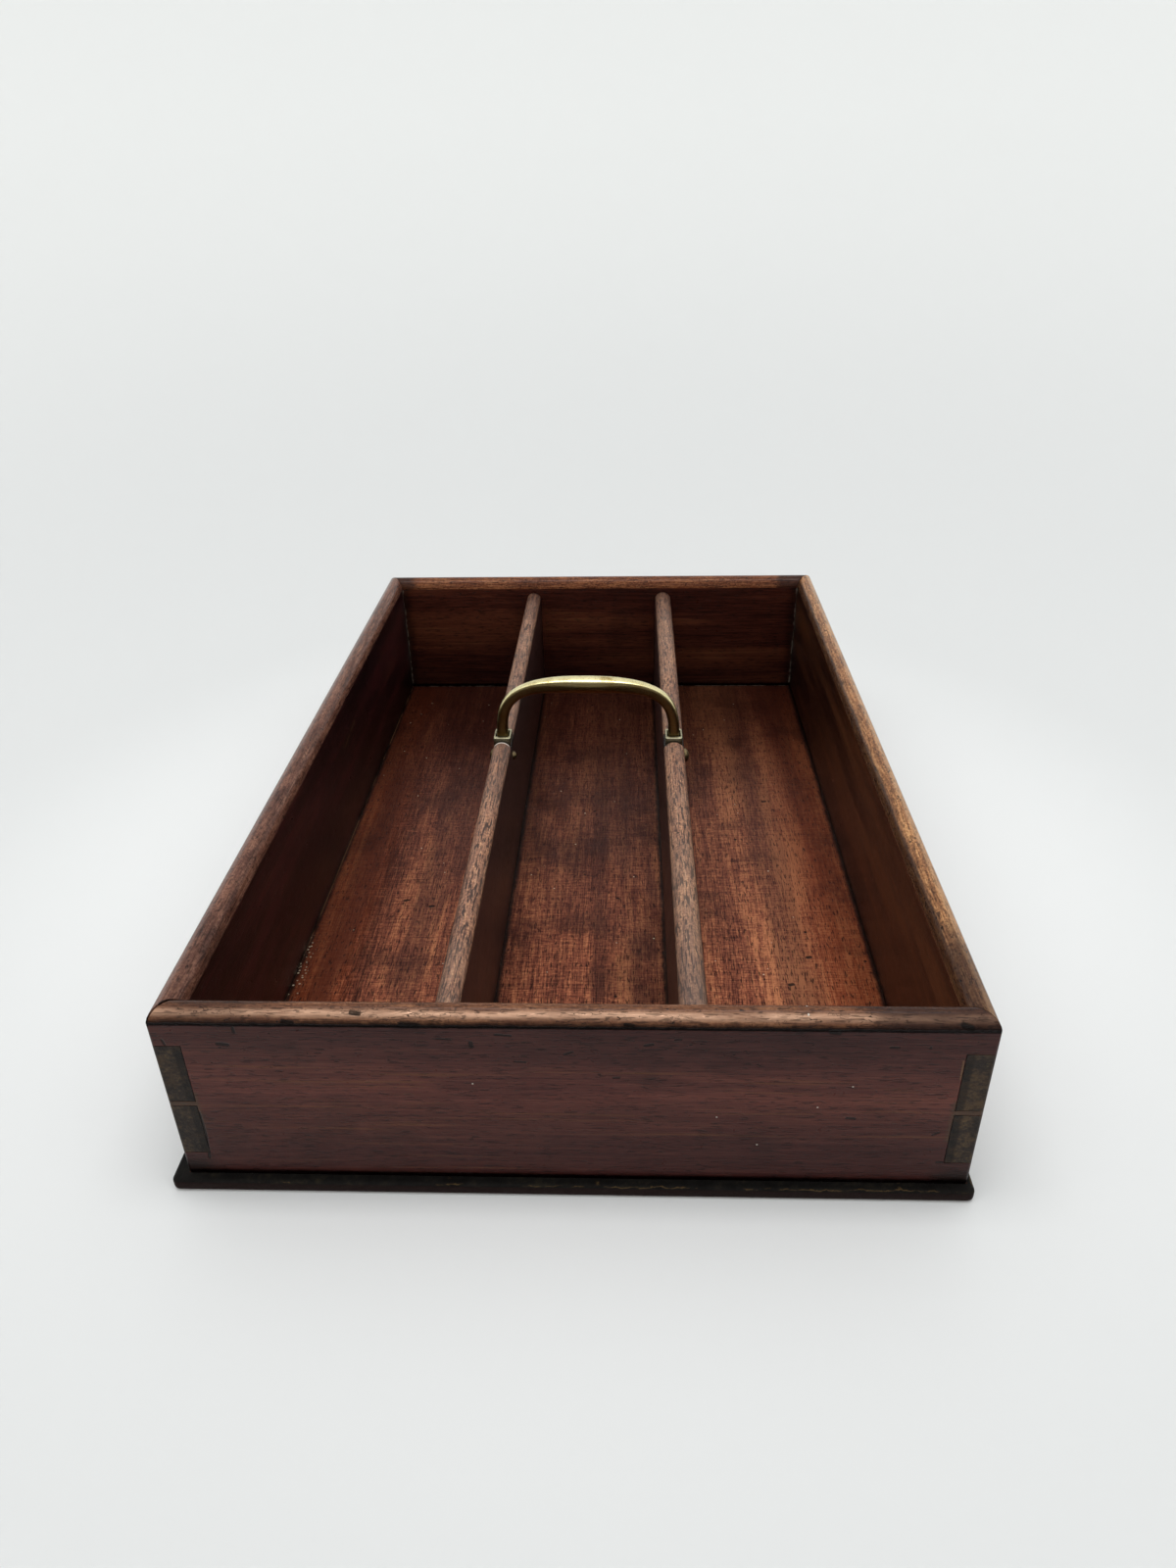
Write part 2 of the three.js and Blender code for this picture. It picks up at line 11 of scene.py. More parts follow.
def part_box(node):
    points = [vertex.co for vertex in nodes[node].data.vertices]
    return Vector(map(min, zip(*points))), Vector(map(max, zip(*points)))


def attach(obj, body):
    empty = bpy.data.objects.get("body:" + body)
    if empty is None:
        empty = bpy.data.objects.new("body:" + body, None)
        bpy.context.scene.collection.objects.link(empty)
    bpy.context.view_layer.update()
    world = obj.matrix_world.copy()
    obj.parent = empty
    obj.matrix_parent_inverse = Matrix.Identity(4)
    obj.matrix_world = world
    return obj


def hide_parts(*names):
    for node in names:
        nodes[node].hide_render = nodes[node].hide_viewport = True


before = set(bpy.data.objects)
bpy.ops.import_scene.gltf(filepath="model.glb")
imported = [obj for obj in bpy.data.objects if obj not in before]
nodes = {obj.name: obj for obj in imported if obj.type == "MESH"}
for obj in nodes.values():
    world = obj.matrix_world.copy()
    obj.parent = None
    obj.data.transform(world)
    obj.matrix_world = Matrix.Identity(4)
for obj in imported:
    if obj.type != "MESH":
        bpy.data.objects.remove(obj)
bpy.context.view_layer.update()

MM = 0.001

# Sizes repeated from the model
RIM_HEIGHT = 6.0
GRIP_RISE = 25.6
BAIL_SQUARENESS = 3.5
BAIL_LEAN = 0.012
GRIP_HEIGHT = 7.7
GRIP_DEPTH = 8.2
SWELL_HALF_LENGTH = 32.0
LEG_WIDTH = 5.0
LEG_DEPTH = 5.0
FOOT_WIDTH = 5.6
FOOT_DEPTH = 5.6
FOOT_FLARE_HEIGHT = 9.0
NOTCH_DEPTH = 2.6

# The cast bail: how finely it is made, how square its sections are, and the waves left by the file
BAIL_SAMPLES = 4000
BAIL_STEPS = 150
RING_POINTS = 36
TANGENT_REACH = 12
LEG_SQUARENESS = 4.0
GRIP_ROUNDING = 1.8
FILE_WAVES = ((5.0, 0.05), (1.6, 0.015))

# Rounding of the worn corners, the angles that count as corners, and how near points are joined
WALL_CORNER = 0.25
DIVIDER_CORNER = 0.2
COLLAR_CORNER = 0.12
SHARP_ANGLE = math.radians(32)
CORNER_ANGLE = math.radians(40)
CORNER_SEGMENTS = 2
WELD_DISTANCE = 0.002

# Depth of the surface marks, and the rise of the rim's shoulder in units of the walls' depth
FLOOR_BUMP = 0.06
WALL_BUMP = 0.06
DIVIDER_BUMP = 0.09
BRASS_BUMP = 0.03
IRON_BUMP = 0.08
SHOULDER_RISE = 7.0

# Polished fibres throw back tinted light, which is what a little metal does. Packed grime on the base
# edge and the painted shade lines of the walls throw back next to nothing, which is what dark metal
# does.
FLOOR_SHEEN = 0.58
END_RIM_SHEEN = 0.64
SIDE_RIM_SHEEN = 0.20
EDGE_GRIME_SHEEN = 0.45
WALL_SHADE_SHEEN = 0.85
POLISH_SPECULAR = 0.15
DRY_SPECULAR = 0.40

# Old nicks in the front face, as start, end and width
FRONT_STROKES = (
    ((-105.1, 62.5), (-102.1, 62.2), 0.8),
    ((-20.2, 67.3), (-15.6, 66.9), 0.5),
    ((-27.8, 64.0), (-27.7, 62.4), 0.8),
    ((-37.8, 65.5), (-33.7, 65.1), 0.4),
    ((0.3, 59.6), (2.7, 60.6), 0.5),
    ((-15.0, 56.4), (-11.7, 56.2), 0.4),
    ((24.5, 63.5), (26.8, 64.0), 0.6),
    ((15.0, 50.1), (16.8, 50.1), 0.4),
    ((114.7, 27.1), (116.4, 28.2), 0.5),
    ((87.3, 34.0), (89.7, 33.8), 0.6),
    ((117.7, 14.6), (119.3, 14.7), 0.6),
    ((97.2, 63.8), (99.5, 63.8), 0.5),
    ((-99.3, 69.0), (-99.2, 67.4), 0.6),
    ((-122.0, 63.9), (-121.5, 61.9), 0.5),
    ((33.5, 66.0), (35.2, 66.0), 0.4),
    ((-116.7, 32.9), (-116.5, 22.0), 0.5),
    ((-116.5, 22.0), (-117.5, 12.0), 0.5),
    ((-48.0, 70.7), (-43.5, 70.3), 1.4),
    ((79.2, 69.5), (81.6, 69.3), 0.9),
    ((117.4, 72.0), (119.8, 71.3), 1.0),
    ((18.6, 71.3), (21.0, 71.1), 0.6),
    ((-63.5, 73.6), (-60.8, 73.4), 0.6),
    ((-84.0, 71.4), (-81.0, 71.0), 0.7),
)
# Pale scratches in the front and left faces, and white specks on the front face
FRONT_SCRATCHES = (
    ((119.3, 58.6), (119.5, 51.0), 0.30),
    ((120.4, 33.7), (127.0, 33.0), 0.5),
    ((-126.0, 33.0), (-118.0, 32.7), 0.35),
)
LEFT_SCRATCHES = (
    ((20.0, 49.0), (31.0, 50.4), 0.35),
    ((34.0, 50.9), (44.0, 52.0), 0.35),
)
FRONT_SPECKS = ((-28.5, 46.9), (47.0, 33.7), (87.7, 47.5), (60.2, 21.6), (77.8, 38.5), (72.4, 74.0))
SPECK_WIDTH = 0.2
# The open mitre at the near left corner, seen from above, as strokes
MITRE_STROKES = (
    ((-122.0, -188.6), (-118.0, -185.6), 0.60),
    ((-119.0, -186.7), (-113.8, -186.3), 0.75),
)
# Worm holes in the floor, each a short stroke
FLOOR_HOLES = ((88.4, 43.9), (-81.2, -42.5), (-69.0, -46.8), (93.7, -80.4), (84.3, -97.5))
HOLE_RUN = (1.2, 0.3)
HOLE_WIDTH = 1.0

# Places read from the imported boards
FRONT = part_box("front_board")
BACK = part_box("back_board")
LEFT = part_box("left_side_board")
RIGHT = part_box("right_side_board")
LEFT_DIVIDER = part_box("left_divider")
RIGHT_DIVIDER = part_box("right_divider")
RIM_FOOT = FRONT[1].z - RIM_HEIGHT * MM
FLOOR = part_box("base_board")[1].z
DIVIDER_TOP = LEFT_DIVIDER[1].z
BAIL_LEFT = (LEFT_DIVIDER[0].x + LEFT_DIVIDER[1].x) / 2
BAIL_RIGHT = (RIGHT_DIVIDER[0].x + RIGHT_DIVIDER[1].x) / 2
BAIL_MIDDLE = (BAIL_LEFT + BAIL_RIGHT) / 2
NOTCH_FLOOR = DIVIDER_TOP - NOTCH_DEPTH * MM


def linear(red, green, blue):
    """A display colour, 0 to 255, as a scene colour."""
    def one(value):
        value /= 255
        return value / 12.92 if value <= 0.04045 else ((value + 0.055) / 1.055) ** 2.4
    return (one(red), one(green), one(blue), 1.0)


# Tones from dark to light, each with its place on the scale of the grain
FLOOR_TONES = (
    (0.37, linear(58, 27, 18)),
    (0.46, linear(112, 58, 43)),
    (0.54, linear(153, 86, 62)),
    (0.64, linear(206, 132, 90)),
)
BASE_EDGE_TONES = ((0.38, linear(15, 13, 12)), (0.54, linear(26, 24, 22)), (0.66, linear(48, 42, 32)))
UNDERSIDE_TONES = ((0.38, linear(66, 43, 32)), (0.62, linear(110, 78, 56)))
OUTER_TONES = ((0.38, linear(64, 31, 28)), (0.50, linear(80, 42, 37)), (0.62, linear(98, 54, 45)))
END_GRAIN_TONES = ((0.38, linear(22, 17, 15)), (0.52, linear(43, 35, 30)), (0.66, linear(76, 60, 42)))
DIVIDER_TONES = ((0.38, linear(22, 8, 7)), (0.50, linear(36, 15, 13)), (0.62, linear(60, 28, 22)))
DIVIDER_TOP_TONES = (
    (0.38, linear(86, 53, 42)),
    (0.50, linear(150, 104, 80)),
    (0.62, linear(210, 157, 116)),
)
RUST_TONES = ((0.38, linear(40, 32, 28)), (0.55, linear(74, 54, 42)), (0.7, linear(112, 74, 48)))

# Dirt and painted shade at the feet of walls and dividers, the black of holes and nicks, old glue, dust
# and bare wood
DIRT_AND_SHADE = linear(13, 8, 7)
HOLE_BLACK = linear(10, 6, 5)
NICK_BLACK = linear(9, 6, 5)
OLD_GLUE = linear(150, 138, 124)
DUST = linear(128, 116, 104)
BARE_OCHRE = linear(118, 90, 60)


class Shader:
    """One material, built node by node. Positions are object positions, which are the model's."""

    def __init__(self, name):
        self.material = bpy.data.materials.new(name)
        self.material.use_nodes = True
        self.tree = self.material.node_tree
        self.tree.nodes.clear()
        self.place = self.new("ShaderNodeTexCoord", {}).outputs["Object"]
        split = self.new("ShaderNodeSeparateXYZ", {"Vector": self.place})
        self.x, self.y, self.z = split.outputs
        facing = self.new("ShaderNodeNewGeometry", {}).outputs["Normal"]
        split = self.new("ShaderNodeSeparateXYZ", {"Vector": facing})
        self.nx, self.ny, self.nz = split.outputs

    def new(self, kind, inputs, **settings):
        node = self.tree.nodes.new(kind)
        for key, value in settings.items():
            setattr(node, key, value)
        for key, value in inputs.items():
            self.feed(node.inputs[key], value)
        return node

    def feed(self, socket, value):
        if isinstance(value, bpy.types.NodeSocket):
            self.tree.links.new(value, socket)
        else:
            socket.default_value = value

    def math(self, operation, a, b=0.0):
        node = self.new("ShaderNodeMath", {0: a, 1: b}, operation=operation)
        return node.outputs[0]

    def plus(self, a, b):
        return self.math("ADD", a, b)

    def minus(self, a, b):
        return self.math("SUBTRACT", a, b)

    def times(self, a, b):
        return self.math("MULTIPLY", a, b)

    def either(self, a, b):
        """The larger of two."""
        return self.math("MAXIMUM", a, b)

    def lower(self, a, b):
        """The smaller of two."""
        return self.math("MINIMUM", a, b)

    def less(self, a):
        """What is missing to 1."""
        return self.math("SUBTRACT", 1.0, a)

    def size(self, a):
        """A value without its sign."""
        return self.math("ABSOLUTE", a)

    def wander(self, value, wave, reach):
        """A value that a noise shifts up and down."""
        return self.plus(value, self.times(self.minus(wave, 0.5), reach))

    def step(self, value, low, high):
        """0 below low, 1 above high, smooth between. Falls where low is above high."""
        start, end = (0.0, 1.0) if low < high else (1.0, 0.0)
        low, high = min(low, high), max(low, high)
        inputs = {"Value": value, "From Min": low, "From Max": high, "To Min": start, "To Max": end}
        node = self.new("ShaderNodeMapRange", inputs, interpolation_type="SMOOTHSTEP")
        return node.outputs["Result"]

    def band(self, value, low, high, soft):
        """1 between low and high, with soft ends."""
        rise = self.step(value, low - soft, low + soft)
        fall = self.step(value, high + soft, high - soft)
        return self.times(rise, fall)

    def scaled(self, size, location):
        """Texture places in which a feature of the given size in mm is one unit long."""
        inputs = {"Vector": self.place, "Scale": tuple(1 / (s * MM) for s in size), "Location": location}
        return self.new("ShaderNodeMapping", inputs).outputs["Vector"]

    def noise(self, size, detail=2.0, roughness=0.5, shift=0.0, distortion=0.0):
        """Noise whose features have the given size in mm along X, Y and Z."""
        inputs = {
            "Vector": self.scaled(size, (shift, shift * 1.7, shift * 2.3)),
            "Scale": 1.0,
            "Detail": detail,
            "Roughness": roughness,
            "Distortion": distortion,
        }
        return self.new("ShaderNodeTexNoise", inputs).outputs["Fac"]

    def cells(self, size, shift=0.0):
        """Distance to scattered points, in cells of the given size in mm."""
        inputs = {"Vector": self.scaled(size, (shift, shift * 1.3, shift * 2.1)), "Scale": 1.0}
        return self.new("ShaderNodeTexVoronoi", inputs).outputs["Distance"]

    def mix(self, factor, a, b):
        node = self.new("ShaderNodeMix", {}, data_type="RGBA", blend_type="MIX")
        self.feed(node.inputs[0], factor)
        self.feed(node.inputs[6], a)
        self.feed(node.inputs[7], b)
        return node.outputs[2]

    def stain(self, body, where, strength, colour):
        """A colour laid over a body where a mask is 1, as strongly as it says."""
        return self.mix(self.times(where, strength), body, colour)

    def shades(self, factor, *stops):
        node = self.new("ShaderNodeValToRGB", {0: factor})
        ramp = node.color_ramp
        while len(ramp.elements) < len(stops):
            ramp.elements.new(0.5)
        for element, (position, colour) in zip(ramp.elements, stops):
            element.position = position
            element.color = colour
        return node.outputs["Color"]

    def mark(self, across, up, start, end, width):
        """1 on a stroke between two points of a face, in mm, with soft sides."""
        ax, az = start[0] * MM, start[1] * MM
        dx, dz = end[0] * MM - ax, end[1] * MM - az
        length = dx * dx + dz * dz
        px, pz = self.minus(across, ax), self.minus(up, az)
        along = self.plus(self.times(px, dx / length), self.times(pz, dz / length))
        along = self.lower(self.either(along, 0.0), 1.0)
        ox = self.minus(px, self.times(along, dx))
        oz = self.minus(pz, self.times(along, dz))
        distance = self.math("SQRT", self.plus(self.times(ox, ox), self.times(oz, oz)))
        return self.step(distance, width * MM * 1.2, width * MM * 0.5)

    def finish(self, colour, roughness, height, depth, metallic=0.0, specular=0.5):
        """The surface itself, with a bump of the given depth in mm."""
        bump = self.new("ShaderNodeBump", {"Height": height, "Strength": 1.0, "Distance": depth * MM})
        inputs = {
            "Base Color": colour,
            "Roughness": roughness,
            "Metallic": metallic,
            "Specular IOR Level": specular,
            "Normal": bump.outputs["Normal"],
        }
        surface = self.new("ShaderNodeBsdfPrincipled", inputs)
        self.new("ShaderNodeOutputMaterial", {"Surface": surface.outputs["BSDF"]})
        return self.material


def stretched(along, length, width):
    """Feature sizes for a texture that runs along one axis."""
    return tuple(length if axis == along else width for axis in "XYZ")


class Grain:
    """The textures of one board of mahogany, all running along one axis."""

    def __init__(self, shader, along, shift):
        sh = self.shader = shader
        self.figure = sh.noise(stretched(along, 190, 16), 2.0, 0.5, shift, 0.2)
        self.streak = sh.noise(stretched(along, 45, 1.8), 3.0, 0.65, shift + 3, 0.3)
        self.line = sh.noise(stretched(along, 14, 0.5), 2.0, 0.6, shift + 5)
        self.hair = sh.noise(stretched(along, 18, 0.34), 2.0, 0.6, shift + 43)
        self.pore = sh.step(sh.noise(stretched(along, 4.5, 0.55), 1.0, 0.5, shift + 7), 0.59, 0.65)
        self.blotch = sh.noise((30, 30, 30), 3.0, 0.6, shift + 11)
        self.dirt = sh.noise((4, 4, 4), 4.0, 0.7, shift + 13)
        self.grit = sh.noise((1.1, 1.1, 1.1), 2.0, 0.6, shift + 17)
        mixed = sh.plus(sh.times(self.figure, 0.34), sh.times(self.streak, 0.36))
        self.tone = sh.plus(mixed, sh.times(self.line, 0.30))

    def fibres(self, colour, dark, pale, strength):
        """Fine dark and pale hair lines over a colour."""
        sh = self.shader
        colour = sh.stain(colour, sh.step(self.hair, 0.53, 0.66), strength, dark)
        return sh.mix(sh.times(sh.step(self.hair, 0.46, 0.34), strength * 0.6), colour, pale)


def floor_faces(sh, grain, hatch):
    """Red-brown wood with a fine cross grain, more orange beside both side walls."""
    tone = sh.wander(grain.tone, hatch, 0.30)
    tone = sh.wander(tone, grain.grit, 0.24)
    tone = sh.plus(tone, sh.times(sh.step(sh.x, -70 * MM, 90 * MM), 0.08))
    body = sh.shades(tone, *FLOOR_TONES)
    body = grain.fibres(body, linear(44, 21, 15), linear(190, 126, 86), 0.55)
    beside_right = sh.step(sh.x, 84 * MM, 108 * MM)
    beside_left = sh.step(sh.x, -86 * MM, -106 * MM)
    body = sh.stain(body, sh.either(beside_right, beside_left), 0.5, linear(156, 70, 30))
    bands = sh.noise((15, 420, 60), 2.0, 0.5, 4.0, 0.3)
    body = sh.stain(body, sh.step(bands, 0.47, 0.60), 0.45, linear(74, 40, 33))
    body = sh.stain(body, grain.pore, 0.8, linear(28, 12, 9))
    return sh.stain(body, sh.step(grain.blotch, 0.50, 0.66), 0.42, linear(46, 24, 19))


def floor_far_shade(sh, grain, body):
    """Painted shade: the far end is darker than the near end, in long ragged streaks."""
    clouds = sh.noise((20, 170, 60), 3.0, 0.6, 71.0, 0.4)
    clouds = sh.plus(sh.times(clouds, 0.7), sh.times(grain.blotch, 0.3))
    shaded_farness = sh.wander(sh.y, clouds, 260 * MM)
    between = sh.step(sh.size(sh.x), 42 * MM, 34 * MM)
    shaded_farness = sh.plus(shaded_farness, sh.times(sh.times(between, sh.step(sh.y, -70 * MM, -10 * MM)), 60 * MM))
    body = sh.stain(body, sh.step(shaded_farness, -150 * MM, 20 * MM), 0.38, linear(70, 32, 26))
    return sh.stain(body, sh.step(shaded_farness, 0.0, 130 * MM), 0.60, linear(42, 13, 10))


def floor_holes(sh):
    """Worm holes, some scattered and some in listed places."""
    holes = sh.step(sh.cells((16, 16, 16), 5.0), 0.055, 0.035)
    for start in FLOOR_HOLES:
        end = (start[0] + HOLE_RUN[0], start[1] + HOLE_RUN[1])
        holes = sh.either(holes, sh.mark(sh.x, sh.y, start, end, HOLE_WIDTH))
    return holes


def floor_corners(sh, grain, body):
    """Dirt and painted shade along the foot of every wall and divider, with a painted glint and dust in
    two of the corners.
    """
    feet = (
        LEFT[1].x, LEFT_DIVIDER[0].x, LEFT_DIVIDER[1].x,
        RIGHT_DIVIDER[0].x, RIGHT_DIVIDER[1].x, RIGHT[0].x,
    )
    nearest = sh.size(sh.minus(sh.x, feet[0]))
    for place in feet[1:]:
        nearest = sh.lower(nearest, sh.size(sh.minus(sh.x, place)))
    for place in (FRONT[1].y, BACK[0].y):
        nearest = sh.lower(nearest, sh.size(sh.minus(sh.y, place)))
    # dirt and painted shade at the feet
    ragged = sh.wander(nearest, grain.dirt, 2.4 * MM)
    body = sh.stain(body, sh.step(ragged, 2.4 * MM, 0.4 * MM), 0.9, DIRT_AND_SHADE)
    # painted highlight: a thin broken glint along the foot of the left wall
    polish = sh.band(sh.minus(sh.x, LEFT[1].x), 0.1 * MM, 0.45 * MM, 0.1 * MM)
    broken = sh.times(sh.step(sh.y, -130 * MM, -60 * MM), sh.step(grain.blotch, 0.40, 0.54))
    body = sh.stain(body, sh.times(polish, broken), 0.5, linear(160, 112, 82))
    dust = sh.step(sh.y, BACK[0].y - 1.1 * MM, BACK[0].y - 0.4 * MM)
    dust = sh.times(dust, sh.step(grain.dirt, 0.42, 0.58))
    return sh.stain(body, dust, 0.55, DUST)


def floor_specks(sh, body):
    """Scattered pale specks, and crumbs along the foot of the left wall, near the front."""
    specks = sh.step(sh.cells((5.5, 5.5, 5.5), 2.0), 0.075, 0.05)
    chosen = sh.step(sh.noise((9, 9, 9), 0.0, 0.5, 21.0), 0.60, 0.64)
    beside = sh.step(sh.minus(sh.x, LEFT[1].x), 6.5 * MM, 0.5 * MM)
    crumbs = sh.times(beside, sh.band(sh.y, -128 * MM, -72 * MM, 12 * MM))
    crumbs = sh.times(sh.step(crumbs, 0.15, 0.6), sh.step(sh.cells((1.7, 1.7, 1.7), 8.0), 0.30, 0.20))
    specks = sh.either(sh.times(specks, chosen), crumbs)
    return sh.stain(body, specks, 0.85, linear(220, 200, 172))


def outside_walls(sh):
    """1 where the base board stands out past the walls."""
    right = sh.step(sh.x, RIGHT[1].x - 0.5 * MM, RIGHT[1].x - 0.1 * MM)
    left = sh.step(sh.x, LEFT[0].x + 0.5 * MM, LEFT[0].x + 0.1 * MM)
    front = sh.step(sh.y, FRONT[0].y + 0.5 * MM, FRONT[0].y + 0.1 * MM)
    back = sh.step(sh.y, BACK[1].y - 0.5 * MM, BACK[1].y - 0.1 * MM)
    return sh.either(sh.either(right, left), sh.either(front, back))


def base_edge(sh, grain):
    """The edge outside the walls: nearly black, redder below, with a broken pale arris."""
    tone = sh.plus(sh.times(grain.dirt, 0.6), sh.times(grain.blotch, 0.4))
    edge = sh.shades(tone, *BASE_EDGE_TONES)
    edge = sh.mix(sh.step(sh.z, 4.2 * MM, 3.4 * MM), edge, linear(32, 19, 17))
    edge = sh.mix(sh.step(sh.z, 2.0 * MM, 0.6 * MM), edge, linear(38, 25, 23))
    worn = sh.noise((13, 13, 3), 4.0, 0.75, 31.0)
    arris = sh.band(sh.wander(sh.z, grain.dirt, 1.6 * MM), 4.25 * MM, 4.40 * MM, 0.12 * MM)
    # more of the arris is worn toward the right
    kept = sh.plus(0.62, sh.times(sh.step(sh.x, -60 * MM, 10 * MM), -0.12))
    arris = sh.times(arris, sh.step(sh.minus(worn, kept), -0.04, 0.08))
    return sh.stain(edge, arris, 0.55, linear(126, 100, 62))


def base_underside(sh, grain):
    """Raw wood, stained in blotches."""
    raw = sh.shades(grain.tone, *UNDERSIDE_TONES)
    return sh.stain(raw, sh.step(grain.blotch, 0.5, 0.68), 0.5, linear(50, 35, 28))


def floor_wood():
    """Base board: the floor of the compartments, its worn dark edge and its plain underside."""
    sh = Shader("base_mahogany_wood")
    grain = Grain(sh, "Y", 1.0)
    hatch = sh.noise((7, 0.75, 7), 2.0, 0.6, 9.0)
    holes = floor_holes(sh)
    outside = outside_walls(sh)
    under = sh.step(sh.nz, -0.5, -0.8)
    body = floor_faces(sh, grain, hatch)
    body = floor_far_shade(sh, grain, body)
    body = sh.stain(body, holes, 0.9, HOLE_BLACK)
    body = floor_corners(sh, grain, body)
    body = floor_specks(sh, body)
    body = sh.mix(outside, body, base_edge(sh, grain))
    body = sh.mix(under, body, base_underside(sh, grain))
    bare = sh.either(under, outside)
    rough = sh.plus(0.29, sh.times(grain.dirt, 0.14))
    rough = sh.plus(rough, sh.times(bare, 0.35))
    sheen = sh.times(sh.less(bare), FLOOR_SHEEN)
    sheen = sh.either(sheen, sh.times(outside, EDGE_GRIME_SHEEN))
    height = sh.minus(sh.times(grain.line, 0.5), sh.times(grain.pore, 0.7))
    height = sh.plus(height, sh.times(hatch, 0.5))
    height = sh.minus(height, sh.times(holes, 1.5))
    return sh.finish(body, rough, height, FLOOR_BUMP, metallic=sheen, specular=POLISH_SPECULAR)


class Wall:
    """Where a point lies on a wall, and the wear that its faces, ends and rim share.

    The wall runs along one axis. Its outer face is at a place on the other axis, on the side given.
    """

    def __init__(self, name, along, outer, side, shift, dark_rim):
        sh = self.shader = Shader(name)
        self.along = along
        self.shift = shift
        self.grain = Grain(sh, along, shift)
        if along == "X":
            self.run, across, toward = sh.x, sh.y, sh.nx
            start, end = LEFT[1].x, RIGHT[0].x
        else:
            self.run, across, toward = sh.y, sh.x, sh.ny
            start, end = FRONT[1].y, BACK[0].y
        # how deep below the outer face, and how far from the nearer corner of the inner face
        self.depth = sh.times(sh.minus(across, outer), -side)
        self.corner = sh.lower(sh.minus(self.run, start), sh.minus(end, self.run))
        self.end_grain = sh.step(sh.size(toward), 0.6, 0.8)
        self.below = sh.step(sh.z, RIM_FOOT + 0.3 * MM, RIM_FOOT - 0.3 * MM)
        # the rim, and how high above its foot, which lies 1 mm higher on the outer half
        self.outer_half = sh.step(self.depth, 4.4 * MM, 3.4 * MM)
        self.lift = sh.minus(sh.minus(sh.z, RIM_FOOT), sh.times(self.outer_half, 1.0 * MM))
        self.rim = sh.step(self.lift, -0.3 * MM, 0.5 * MM)
        self.worn = sh.noise(stretched(along, 20, 3.0), 4.0, 0.70, shift + 19, 0.4)
        # the front and back are rubbed on the rim's outer shoulder, where a painted highlight lies too,
        # the sides on its whole outer half
        if along == "X":
            self.shoulder = sh.band(self.depth, 1.2 * MM, 2.8 * MM, 0.7 * MM)
        else:
            self.shoulder = self.outer_half
        self.patchy = self.dark_patches(dark_rim)
        self.scars = self.rim_scars()
        # painted shade, nearly black, where the rim rolls under to the outer face
        ragged = sh.wander(self.lift, self.grain.dirt, 1.6 * MM)
        self.rolled_under_shade = sh.times(self.outer_half, sh.step(ragged, 2.9 * MM, 0.8 * MM))
        # painted shade: a dark line in the angle below the rim, where a fine quirk is cut, and a dark
        # line where the wall meets the base
        wavy = sh.wander(sh.z, self.grain.dirt, 1.0 * MM)
        quirk_shadow_line = sh.band(wavy, RIM_FOOT + 1.0 * MM, RIM_FOOT + 1.9 * MM, 0.25 * MM)
        self.quirk_shadow_line = sh.times(self.outer_half, quirk_shadow_line)
        self.foot = sh.step(wavy, FLOOR + 2.6 * MM, FLOOR + 1.0 * MM)

    def dark_patches(self, dark_rim):
        """Where the rim has stayed dark. The given function of place makes it likelier."""
        sh = self.shader
        patchy = sh.wander(dark_rim(sh, self.depth), self.grain.blotch, 0.9)
        patchy = sh.wander(patchy, self.worn, 0.5)
        return sh.step(patchy, 0.30, 0.70)

    def rim_scars(self):
        """Fine cracks, dents and open pores of the rim."""
        sh = self.shader
        wiggle = sh.noise(stretched(self.along, 7, 2.2), 2.0, 0.6, self.shift + 41, 0.8)
        crack = sh.step(sh.size(sh.minus(wiggle, 0.5)), 0.014, 0.004)
        crack = sh.times(crack, sh.step(self.grain.blotch, 0.46, 0.56))
        dents = sh.noise(stretched(self.along, 2.6, 1.1), 1.0, 0.5, self.shift + 23)
        scars = sh.either(sh.times(crack, 0.8), sh.times(sh.step(dents, 0.66, 0.71), 0.6))
        return sh.either(scars, sh.times(self.grain.pore, 0.55))

    def faces(self, inner_tones):
        """Polished faces. The outer one is greyer below the rim, and darker and redder toward the foot
        as painted shade; the inner one is darker toward the floor as painted shade.
        """
        sh, grain = self.shader, self.grain
        uneven = sh.wander(sh.z, grain.blotch, 26 * MM)
        outer = sh.shades(grain.tone, *OUTER_TONES)
        outer = sh.stain(outer, sh.step(uneven, 38 * MM, RIM_FOOT), 0.54, linear(32, 20, 21))
        # painted shade: darker and redder toward the foot
        outer = sh.stain(outer, sh.step(uneven, 42 * MM, 30 * MM), 0.34, linear(26, 10, 10))
        outer = sh.stain(outer, sh.step(uneven, 44 * MM, FLOOR), 0.50, linear(43, 12, 12))
        outer = grain.fibres(outer, linear(34, 15, 14), linear(104, 62, 52), 0.30)
        inner = sh.shades(grain.tone, *inner_tones)
        # painted shade: darker toward the floor
        inner = sh.stain(inner, sh.step(uneven, 42 * MM, FLOOR), 0.40, linear(14, 6, 5))
        inner = sh.stain(inner, sh.step(grain.figure, 0.48, 0.60), 0.5, inner_tones[2][1])
        inner = grain.fibres(inner, linear(14, 6, 6), linear(84, 48, 36), 0.36)
        body = sh.mix(sh.step(self.depth, 4 * MM, 5 * MM), outer, inner)
        body = sh.stain(body, grain.pore, 0.55, linear(13, 5, 5))
        body = sh.stain(body, sh.step(grain.blotch, 0.52, 0.70), 0.32, linear(22, 11, 10))
        ochre = sh.noise(stretched(self.along, 60, 1.3), 2.0, 0.55, self.shift + 29, 0.2)
        ochre = sh.times(sh.step(ochre, 0.58, 0.72), sh.step(grain.figure, 0.44, 0.60))
        return sh.stain(body, ochre, 0.38, linear(104, 66, 40))

